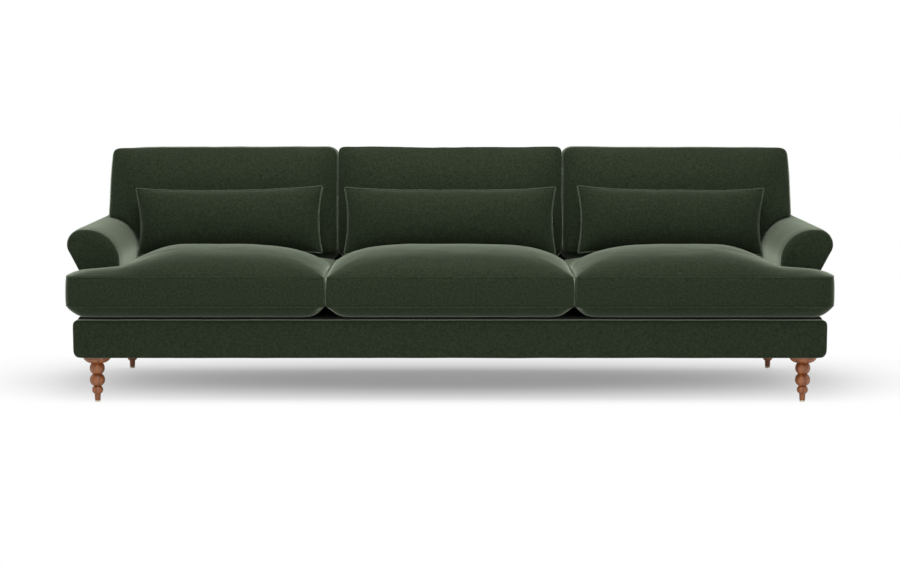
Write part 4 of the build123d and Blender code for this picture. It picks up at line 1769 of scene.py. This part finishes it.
@dataclass
class Arm:
    """Rolled arm: padded roll, front facing and outside panel.

    Attributes:
        side: Which arm.
        easing: Radius of the roll's front edge.
        draw: How far the roll is drawn in at its front, over draw_run.
        roll_back: Distance of the roll behind the facing's plane.
        roll_starts: Distances of the close sections behind the roll's front.
        roll_steps: Number of sections behind those.
        facing_inset: Distance of the facing's edge inside the roll.
        facing_centre: Point (x, z) that the facing's rows shrink towards.
        facing_rows: Share of the outline and place behind the front of each row.
        facing_foot: Heights along the facing's outer foot.
        panel_rows: Depth share and inset of the outside panel's rows.
        panel_step: Room between the panel's step and the arm's front cover.
        panel_heights: Heights of points on the panel's rear edge, below and above the deck.
        ledge_drop: Depth of the panel's ledge below the deck; ledge_rise and ledge_run shape its step.
        clear: Room to a neighbouring part, facing_clear below the facing.
        still: Height over the deck below which the roll stays even.
        seam_radius: Radius of the seam bead.
        fill: How full the pads are stuffed.
    """

    side: Side
    easing: float = 0.010
    draw: float = 0.004
    draw_run: float = 0.09
    roll_back: float = 0.002
    roll_starts: tuple[float, ...] = (0.0, 0.002, 0.005, 0.010, 0.02, 0.04, 0.07, 0.1)
    roll_steps: int = 12
    facing_inset: float = 0.009
    facing_centre: Point = (1.232, 0.45)
    facing_rows: tuple[Row, ...] = (
        (1.0, 0.012), (1.0, 0.003), (0.985, -0.0005), (0.93, -0.0025),
        (0.8, -0.0035), (0.55, -0.004), (0.3, -0.004), (0.1, -0.004),
    )
    facing_foot: tuple[float, ...] = (0.40, 0.35)
    panel_rows: tuple[Row, ...] = ((0.0, 0.006), (0.04, 0.003), (0.25, 0.0), (1.0, 0.0))
    panel_step: float = 0.003
    panel_heights: Point = (0.22, 0.37)
    ledge_drop: float = 0.012
    ledge_rise: float = 0.03
    ledge_run: float = 0.02
    clear: float = 0.0005
    facing_clear: float = 0.001
    still: float = 0.02
    seam_radius: float = 0.0016
    fill: float = 0.9

    def mirrored(self, x: float, y: float, z: float) -> Vector:
        """Point of the right arm, moved to this arm's side."""
        return Vector((self.side.value * x, y, z))

    def inset(self, distance: float) -> float:
        """How far the roll is drawn in near its front.

        Args:
            distance: Distance behind the roll's front.

        Returns:
            The inset of its section.
        """
        short = max(0.0, self.easing - distance)
        eased = self.easing - math.sqrt(self.easing**2 - short**2)
        return eased + self.draw * (1.0 - min(distance / self.draw_run, 1.0)) ** 2

    def section(self, inset: float) -> list[Point]:
        """Closed section of the roll.

        Args:
            inset: Distance that the section is drawn in by.

        Returns:
            Points (x, z) in order.
        """
        low = LAYOUT.deck_height + self.clear
        foot = [(LAYOUT.rail_half, LAYOUT.lip_z), (LAYOUT.rail_half, low)]
        profile = LAYOUT.arm_profile(inset)
        return [(profile[0][0], low)] + profile[1:] + foot

    def roll(self, shop: Workshop) -> None:
        """Makes the padded roll.

        Args:
            shop: What it is made with.
        """
        front = LAYOUT.arm_front + self.roll_back
        loops = []
        for distance in self.roll_starts:
            section = self.section(self.inset(distance))
            loops.append([self.mirrored(x, front + distance, z) for x, z in section])
        flat = self.section(0.0)
        near = front + self.roll_starts[-1]
        for step in range(1, self.roll_steps + 1):
            part = step / self.roll_steps
            loop = []
            for x, z in flat:
                run = LAYOUT.outside_y(z) - LAYOUT.cover - near
                loop.append(self.mirrored(x, near + run * part, z))
            loops.append(loop)
        piece = skin(f"arm_roll_{self.side.word}", loops)
        ruffle = Ruffle(height=0.0010, size=0.11, seed=31.0 + self.side.value)
        ruffle.apply(piece, held=LAYOUT.deck_height + self.still)
        shop.declare(piece, "frame", Slot.VELVET, [f"arm_pad_{self.side.word}"], self.fill)

    def facing(self, shop: Workshop) -> None:
        """Makes the front facing and the seam round it.

        Args:
            shop: What it is made with.
        """
        low = LAYOUT.deck_height + self.facing_clear
        profile = LAYOUT.arm_profile(self.facing_inset)
        foot_x = LAYOUT.frame_half - self.facing_inset
        outline = [(profile[0][0], low)] + profile[1:]
        outline += [(foot_x, z) for z in (*self.facing_foot, low)]
        middle_x, middle_z = self.facing_centre
        loops = []
        for share, forward in self.facing_rows:
            loop = []
            for x, z in outline:
                drawn_x, drawn_z = middle_x + (x - middle_x) * share, middle_z + (z - middle_z) * share
                loop.append(self.mirrored(drawn_x, LAYOUT.arm_front + forward, drawn_z))
            loops.append(loop)
        piece = skin(f"arm_front_{self.side.word}", loops)
        count = len(outline)
        second = list(range(count, 2 * count))
        shop.seam(f"arm_front_seam_{self.side.word}", piece, [second], "frame", self.seam_radius)
        shop.declare(piece, "frame", Slot.VELVET, [f"arm_facing_{self.side.word}"], self.fill)

    def outside(self, shop: Workshop) -> None:
        """Makes the outside panel.

        Args:
            shop: What it is made with.
        """
        low, deck, lip = LAYOUT.leg_height, LAYOUT.deck_height, LAYOUT.lip_z
        front = LAYOUT.front_y + LAYOUT.rail_cover + self.clear
        step = LAYOUT.arm_front + LAYOUT.cover + self.panel_step
        ledge = deck - self.ledge_drop
        below, above = self.panel_heights
        outline = [(front, low)]
        outline += [(LAYOUT.outside_y(z) - LAYOUT.cover, z) for z in (low, below, deck, above, lip)]
        outline += [(0.0, lip), (step, lip), (step, deck + self.ledge_rise), (step, ledge)]
        outline += [(step - self.ledge_run, ledge), (front, ledge)]
        piece = slab(
            f"outside_arm_panel_{self.side.word}",
            outline,
            self.panel_rows,
            lambda y, z: LAYOUT.frame_half,
            lambda y, z: LAYOUT.rail_half + self.clear,
            lambda y, z, x: self.mirrored(x, y, z),
        )
        shop.declare(piece, "frame", Slot.VELVET, [f"outside_arm_{self.side.word}"], self.fill)

    def build(self, shop: Workshop) -> None:
        """Makes the whole arm.

        Args:
            shop: What they are made with.
        """
        self.roll(shop)
        self.facing(shop)
        self.outside(shop)


@dataclass
class Base:
    """Padded front rail, deck under the cushions and dust cover below.

    Attributes:
        overhang: How far the rail's padding reaches past the frame at each end.
        corner: Plan radius of its lower corners.
        upper_share: Share of that radius at its upper corners.
        ease: Rounding of its front edges.
        swell: How full its front is.
        end_run: Run of that swelling from the ends, edge_run from the long edges.
        lip: Depth of its top below the deck.
        edge_lines: Distances of the close grid lines from an edge.
        across_step: Largest width of a grid cell, along_step its largest height.
        deck_rows: Depth share and inset of the deck's rows.
        deck_clear: Room between the deck's cloth and the box of its node.
        cloth_clear: Room over the dust cloth, cloth_lift below it.
        staple_inset: Distance of the staples from the cloth's edge.
        staple_pitch: Distance between two staples.
        fill: How full the padding is stuffed.
    """

    overhang: float = 0.002
    corner: float = 0.026
    upper_share: float = 0.6
    ease: float = 0.010
    swell: float = 0.0025
    end_run: float = 0.06
    edge_run: float = 0.05
    lip: float = 0.0065
    edge_lines: tuple[float, ...] = (0.008, 0.02, 0.04)
    across_step: float = 0.05
    along_step: float = 0.03
    deck_rows: tuple[Row, ...] = ((0.0, 0.008), (0.1, 0.003), (0.35, 0.0005), (1.0, 0.0005))
    deck_clear: float = 0.0002
    cloth_clear: float = 0.0001
    cloth_lift: float = 0.0006
    staple_inset: float = 0.014
    staple_pitch: float = 0.06
    fill: float = 0.9

    @property
    def half(self) -> float:
        """Half the length of the rail's padding."""
        return LAYOUT.frame_half + self.overhang

    @property
    def high(self) -> float:
        """Top of the rail's padding."""
        return LAYOUT.deck_height - self.lip

    def plan(self, x: float, z: float) -> Point:
        """Front of the rail with rounded corners.

        Args:
            x: Place across the sofa.
            z: Height.

        Returns:
            The moved point.
        """
        low, upper = LAYOUT.leg_height, self.corner * self.upper_share
        corners = [
            ((-self.half, low), (1, 1), self.corner),
            ((self.half, low), (-1, 1), self.corner),
            ((-self.half, self.high), (1, -1), upper),
            ((self.half, self.high), (-1, -1), upper),
        ]
        return cornered(x, z, corners)

    def front(self, x: float, z: float) -> float:
        """Front face of the rail, a little full.

        Args:
            x: Place across the sofa.
            z: Height.

        Returns:
            Its place along the sofa's depth.
        """
        share = rise(self.half - abs(x), self.end_run, 2.0)
        share *= rise(z - LAYOUT.leg_height, self.edge_run, 2.0)
        share *= rise(self.high - z, self.edge_run, 2.0)
        return LAYOUT.front_y + self.swell - self.swell * share

    def rail(self, shop: Workshop) -> None:
        """Makes the padded front rail.

        Args:
            shop: What it is made with.
        """
        across = spaced(margined(-self.half, self.half, self.edge_lines), self.across_step)
        along = spaced(margined(LAYOUT.leg_height, self.high, self.edge_lines), self.along_step)
        rows = [(0.0, self.ease), (0.03, self.ease * 0.5), (0.1, self.ease * 0.15)]
        rows += [(0.25, 0.0), (0.7, 0.0), (1.0, 0.0)]
        piece, _ = GridForm(across, along).build(
            "front_rail_padding",
            self.plan,
            rows,
            self.front,
            lambda x, z: LAYOUT.front_y + LAYOUT.rail_cover,
            lambda x, z, y: Vector((x, y, z)),
        )
        subdivided(piece, 1)
        Ruffle(height=0.0007, size=0.12, seed=41.0).apply(piece)
        shop.declare(piece, "frame", Slot.VELVET, ["front_rail_cover"], self.fill)

    def deck(self, shop: Workshop) -> None:
        """Makes the cloth-covered deck.

        Args:
            shop: What it is made with.
        """
        low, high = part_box("seat_deck")
        piece = slab(
            "deck_padding",
            rectangle(low, high),
            self.deck_rows,
            lambda x, y: high.z - self.deck_clear,
            lambda x, y: low.z + self.deck_clear,
            lambda x, y, z: Vector((x, y, z)),
        )
        shop.declare(piece, "frame", Slot.DECK_CLOTH, ["seat_deck"], self.fill)

    def dust_cover(self, shop: Workshop) -> None:
        """Makes the dust cover and its staples.

        Args:
            shop: What it is made with.
        """
        low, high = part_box("dust_cover")
        level = low.z + self.cloth_lift
        piece = slab(
            "dust_cloth",
            rectangle(low, high),
            [(0.0, 0.0), (1.0, 0.0)],
            lambda x, y: high.z - self.cloth_clear,
            lambda x, y: level,
            lambda x, y, z: Vector((x, y, z)),
        )
        shop.declare(piece, "frame", Slot.DUST_CLOTH, ["dust_cover"])
        path = [Vector((x, y, level)) for x, y in rectangle(low, high, self.staple_inset)]
        steel = shop.finishes.by_slot[Slot.STEEL]
        staples = shop.paths.along(
            "dust_cloth_staples", [path], shop.paths.staples, steel, Pitch=self.staple_pitch
        )
        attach(staples, "frame")
        log.info("staples: %d faces", len(staples.data.polygons))

    def build(self, shop: Workshop) -> None:
        """Makes the whole base.

        Args:
            shop: What they are made with.
        """
        self.rail(shop)
        self.deck(shop)
        self.dust_cover(shop)


@dataclass
class FrameBack:
    """Inside back pad and outside back panel.

    Attributes:
        ease: Rounding of the pad's front edge.
        clear: Room between the pad and the arm.
        curve_start: Distance past the arm's inner side where the pad's edge follows its curve.
        side_step: Largest step along the straight sides, curve_step along the arm's curve.
        upper_step: Largest step along the sides over the arms.
        pad_upper_z: Height from which the pad's side is straight, panel_upper_z for the panel.
        panel_rows: Depth share and inset of the panel's rows.
        panel_clear: Room between the panel and the pad.
        seam_radius: Radius of the seam bead.
        fill: How full the pads are stuffed.
    """

    ease: float = 0.011
    clear: float = 0.001
    curve_start: float = 0.002
    side_step: float = 0.05
    curve_step: float = 0.012
    upper_step: float = 0.03
    pad_upper_z: float = 0.63
    panel_upper_z: float = 0.61
    panel_rows: tuple[Row, ...] = ((0.0, 0.0), (0.5, 0.0), (0.8, 0.002), (0.95, 0.005), (1.0, 0.009))
    panel_clear: float = 0.0003
    seam_radius: float = 0.0018
    fill: float = 0.9

    def shoulder(self) -> list[Point]:
        """Right-hand edge of the inside back, up along the arm's curve.

        Returns:
            Points (x, z) in order.
        """
        heights = spaced([LAYOUT.deck_height, LAYOUT.arc_z], self.side_step)
        points = [(LAYOUT.seat_half - self.clear, z) for z in heights]
        for x in spaced([LAYOUT.seat_half + self.curve_start, LAYOUT.back_half], self.curve_step):
            points.append((x, LAYOUT.arm_top(x) + self.clear))
        heights = spaced([self.pad_upper_z, LAYOUT.back_height], self.upper_step)
        return points + [(LAYOUT.back_half, z) for z in heights]

    def inside(self, shop: Workshop) -> None:
        """Makes the inside back pad.

        Args:
            shop: What it is made with.
        """
        right = self.shoulder()
        rows = [(0.0, self.ease), (0.02, 0.004), (0.08, 0.0005), (0.5, 0.0), (0.9, 0.001), (1.0, 0.004)]
        piece = slab(
            "inside_back_padding",
            right + [(-x, z) for x, z in reversed(right)],
            rows,
            lambda x, z: LAYOUT.pad_y(z),
            lambda x, z: LAYOUT.outside_y(z) - LAYOUT.cover,
            lambda x, z, y: Vector((x, y, z)),
        )
        shop.declare(piece, "frame", Slot.VELVET, ["inside_back"], self.fill)

    def outside(self, shop: Workshop) -> None:
        """Makes the outside back panel and the seam round it.

        Args:
            shop: What it is made with.
        """
        profile = [p for p in LAYOUT.arm_profile(0.0) if p[0] > LAYOUT.back_half]
        heights = spaced([LAYOUT.leg_height, LAYOUT.lip_z], self.side_step)
        right = [(LAYOUT.frame_half, z) for z in heights] + list(reversed(profile))[1:]
        heights = spaced([self.panel_upper_z, LAYOUT.back_height], self.upper_step)
        right += [(LAYOUT.back_half, z) for z in heights]
        outline = right + [(-x, z) for x, z in reversed(right)]
        piece = slab(
            "outside_back_panel",
            outline,
            self.panel_rows,
            lambda x, z: LAYOUT.outside_y(z) - LAYOUT.cover + self.panel_clear,
            lambda x, z: LAYOUT.outside_y(z),
            lambda x, z, y: Vector((x, y, z)),
        )
        shop.seam("outside_back_seam", piece, [list(range(len(outline)))], "frame", self.seam_radius)
        shop.declare(piece, "frame", Slot.VELVET, ["outside_back"], self.fill)

    def build(self, shop: Workshop) -> None:
        """Makes both panels of the back.

        Args:
            shop: What they are made with.
        """
        self.inside(shop)
        self.outside(shop)


@dataclass
class BareParts:
    """CAD nodes that keep their own shape and get a finish.

    Attributes:
        slots: Names of the nodes by material slot.
    """

    slots: dict[Slot, tuple[str, ...]] = field(
        default_factory=lambda: {
            Slot.LEG_WOOD: ("leg_front_left", "leg_front_right", "leg_rear_left", "leg_rear_right"),
            Slot.GLIDE: ("leg_glides",),
            Slot.STEEL: (
                "leg_bolts", "leg_inserts", "corner_screws", "seat_springs", "spring_clips",
            ),
            Slot.WEBBING: ("back_webbing",),
            Slot.FOAM: ("seat_core_left", "seat_core_centre", "seat_core_right"),
            Slot.FIBRE: (
                "back_core_left", "back_core_centre", "back_core_right",
                "lumbar_core_left", "lumbar_core_centre", "lumbar_core_right",
            ),
            Slot.FRAME_WOOD: (
                "front_rail", "rear_rail", "side_rail_left", "side_rail_right", "cross_rails",
                "corner_blocks", "arm_stumps", "stump_dowels", "arm_boards", "arm_tack_rails",
                "back_posts", "post_dowels", "back_top_rail", "back_tack_rails",
            ),
        }
    )

    def dress(self, nodes: dict[str, bpy.types.Object], finishes: Finishes) -> None:
        """Sets the finishes in the nodes' material slots.

        Args:
            nodes: Loaded nodes by name.
            finishes: The materials.
        """
        for slot, names in self.slots.items():
            for name in names:
                node = nodes[name]
                if not node.material_slots:
                    node.data.materials.append(None)
                for place in node.material_slots:
                    place.link = "OBJECT"
                    place.material = finishes.by_slot[slot]
        log.info("dressed the nodes that keep their shape")


@dataclass(frozen=True)
class Lamp:
    """Soft rectangular light of a power in watts, turned from its place to a target."""

    name: str
    place: Triple
    size: Point
    power: float
    target: Triple = (0.0, 0.0, 0.45)

    def hang(self) -> None:
        """Puts the light into the scene."""
        lamp = bpy.data.lights.new(self.name, "AREA")
        lamp.shape = "RECTANGLE"
        lamp.size, lamp.size_y = self.size
        lamp.energy = self.power
        holder = bpy.data.objects.new(self.name, lamp)
        holder.location = self.place
        aim = Vector(self.target) - Vector(self.place)
        holder.rotation_euler = aim.to_track_quat("-Z", "Y").to_euler()
        bpy.context.scene.collection.objects.link(holder)


@dataclass(frozen=True)
class Studio:
    """White floor and backdrop, soft lights and the camera.

    Attributes:
        camera_place: Where the camera stands.
        camera_pitch: Its turn up from looking straight down.
        lens: Its focal length in millimetres, with a sensor of sensor_width.
        far: Furthest distance that it sees.
        floor_half: Half the width of the floor, which reaches three times as far behind the sofa.
        floor_grey: Brightness of the floor's own surface.
        fade_shift: Shift of the floor's shaded field, in its scaled coordinates.
        fade_scale: Scale of that field.
        fade_run: Distances between which the floor fades to white.
        fade_least: Share of white in the middle.
        world_strength: Brightness of the soft world.
        lamps: The lights.
    """

    camera_place: Triple = (0.0, -7.6037, 1.185)
    camera_pitch: float = math.radians(83.86)
    lens: float = 83.5
    sensor_width: float = 36.0
    far: float = 100.0
    floor_half: float = 9.0
    floor_grey: float = 0.92
    fade_shift: Triple = (0.0, -0.15, 0.0)
    fade_scale: Triple = (0.295, 1.25, 1.0)
    fade_run: Point = (0.15, 1.0)
    fade_least: float = 0.28
    world_strength: float = 0.62
    lamps: tuple[Lamp, ...] = (
        Lamp("top_light", (0.0, -1.4, 3.5), (2.4, 2.4), 108.0),
        Lamp("front_light", (0.0, -5.5, 2.2), (6.0, 2.0), 34.0),
        Lamp("rear_light", (0.0, 2.4, 3.0), (3.0, 1.2), 16.0),
    )

    def floor_material(self) -> bpy.types.Material:
        """White surface that the camera sees fade to plain white away from the sofa.

        Returns:
            The material.
        """
        material = bpy.data.materials.new("white_floor")
        material.use_nodes = True
        tree = material.node_tree
        surface = tree.nodes["Principled BSDF"]
        surface.inputs["Base Color"].default_value = (*[self.floor_grey] * 3, 1.0)
        surface.inputs["Roughness"].default_value = 0.9
        surface.inputs["Specular IOR Level"].default_value = 0.1
        glow = tree.nodes.new("ShaderNodeEmission")
        place = tree.nodes.new("ShaderNodeTexCoord")
        squeeze = tree.nodes.new("ShaderNodeMapping")
        squeeze.inputs["Location"].default_value = self.fade_shift
        squeeze.inputs["Scale"].default_value = self.fade_scale
        length = tree.nodes.new("ShaderNodeVectorMath")
        length.operation = "LENGTH"
        fade = tree.nodes.new("ShaderNodeMapRange")
        fade.interpolation_type = "SMOOTHSTEP"
        fade.inputs["From Min"].default_value, fade.inputs["From Max"].default_value = self.fade_run
        fade.inputs["To Min"].default_value = self.fade_least
        rays = tree.nodes.new("ShaderNodeLightPath")
        seen = tree.nodes.new("ShaderNodeMath")
        seen.operation = "MULTIPLY"
        mix = tree.nodes.new("ShaderNodeMixShader")
        wire(
            tree,
            (place.outputs["Object"], squeeze.inputs["Vector"]),
            (squeeze.outputs["Vector"], length.inputs[0]),
            (length.outputs["Value"], fade.inputs["Value"]),
            (fade.outputs["Result"], seen.inputs[0]),
            (rays.outputs["Is Camera Ray"], seen.inputs[1]),
            (seen.outputs["Value"], mix.inputs[0]),
            (surface.outputs["BSDF"], mix.inputs[1]),
            (glow.outputs["Emission"], mix.inputs[2]),
            (mix.outputs["Shader"], tree.nodes["Material Output"].inputs["Surface"]),
        )
        return material

    def floor(self) -> None:
        """Lays the floor."""
        half = self.floor_half
        corners = [(-half, -half, 0.0), (half, -half, 0.0), (half, half * 3, 0.0), (-half, half * 3, 0.0)]
        mesh = bpy.data.meshes.new("floor")
        mesh.from_pydata(corners, [], [(0, 1, 2, 3)])
        floor = link("floor", mesh)
        mesh.materials.append(self.floor_material())

    def backdrop(self) -> None:
        """Sets a soft world that the camera sees as white."""
        world = bpy.data.worlds.new("studio")
        world.use_nodes = True
        tree = world.node_tree
        soft = tree.nodes["Background"]
        white = tree.nodes.new("ShaderNodeBackground")
        for node, strength in ((soft, self.world_strength), (white, 1.0)):
            node.inputs["Color"].default_value = (1.0, 1.0, 1.0, 1.0)
            node.inputs["Strength"].default_value = strength
        rays = tree.nodes.new("ShaderNodeLightPath")
        mix = tree.nodes.new("ShaderNodeMixShader")
        wire(
            tree,
            (rays.outputs["Is Camera Ray"], mix.inputs[0]),
            (soft.outputs["Background"], mix.inputs[1]),
            (white.outputs["Background"], mix.inputs[2]),
            (mix.outputs["Shader"], tree.nodes["World Output"].inputs["Surface"]),
        )
        bpy.context.scene.world = world

    def camera(self) -> None:
        """Places the camera as the photograph was taken."""
        data = bpy.data.cameras.new("camera")
        data.lens = self.lens
        data.sensor_width = self.sensor_width
        data.sensor_fit = "HORIZONTAL"
        data.clip_end = self.far
        holder = bpy.data.objects.new("camera", data)
        holder.location = self.camera_place
        holder.rotation_euler = (self.camera_pitch, 0.0, 0.0)
        bpy.context.scene.collection.objects.link(holder)
        bpy.context.scene.camera = holder

    def build(self) -> None:
        """Sets up the studio."""
        self.floor()
        self.backdrop()
        for lamp in self.lamps:
            lamp.hang()
        self.camera()
        bpy.context.scene.view_settings.view_transform = "Standard"


def main() -> None:
    """Builds the sofa over its frame."""
    logging.basicConfig(level=logging.INFO, format="%(name)s: %(message)s")
    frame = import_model()
    finishes = Finishes()
    shop = Workshop(finishes, PathTools())
    Studio().build()
    BareParts().dress(frame["nodes"], finishes)
    Base().build(shop)
    FrameBack().build(shop)
    for side in (Side.LEFT, Side.RIGHT):
        Arm(side).build(shop)
    for side in Side:
        SeatCushion(side).build(shop)
        BackCushion(side).build(shop)
        LumbarPillow(side).build(shop)


if __name__ == "__main__":
    main()
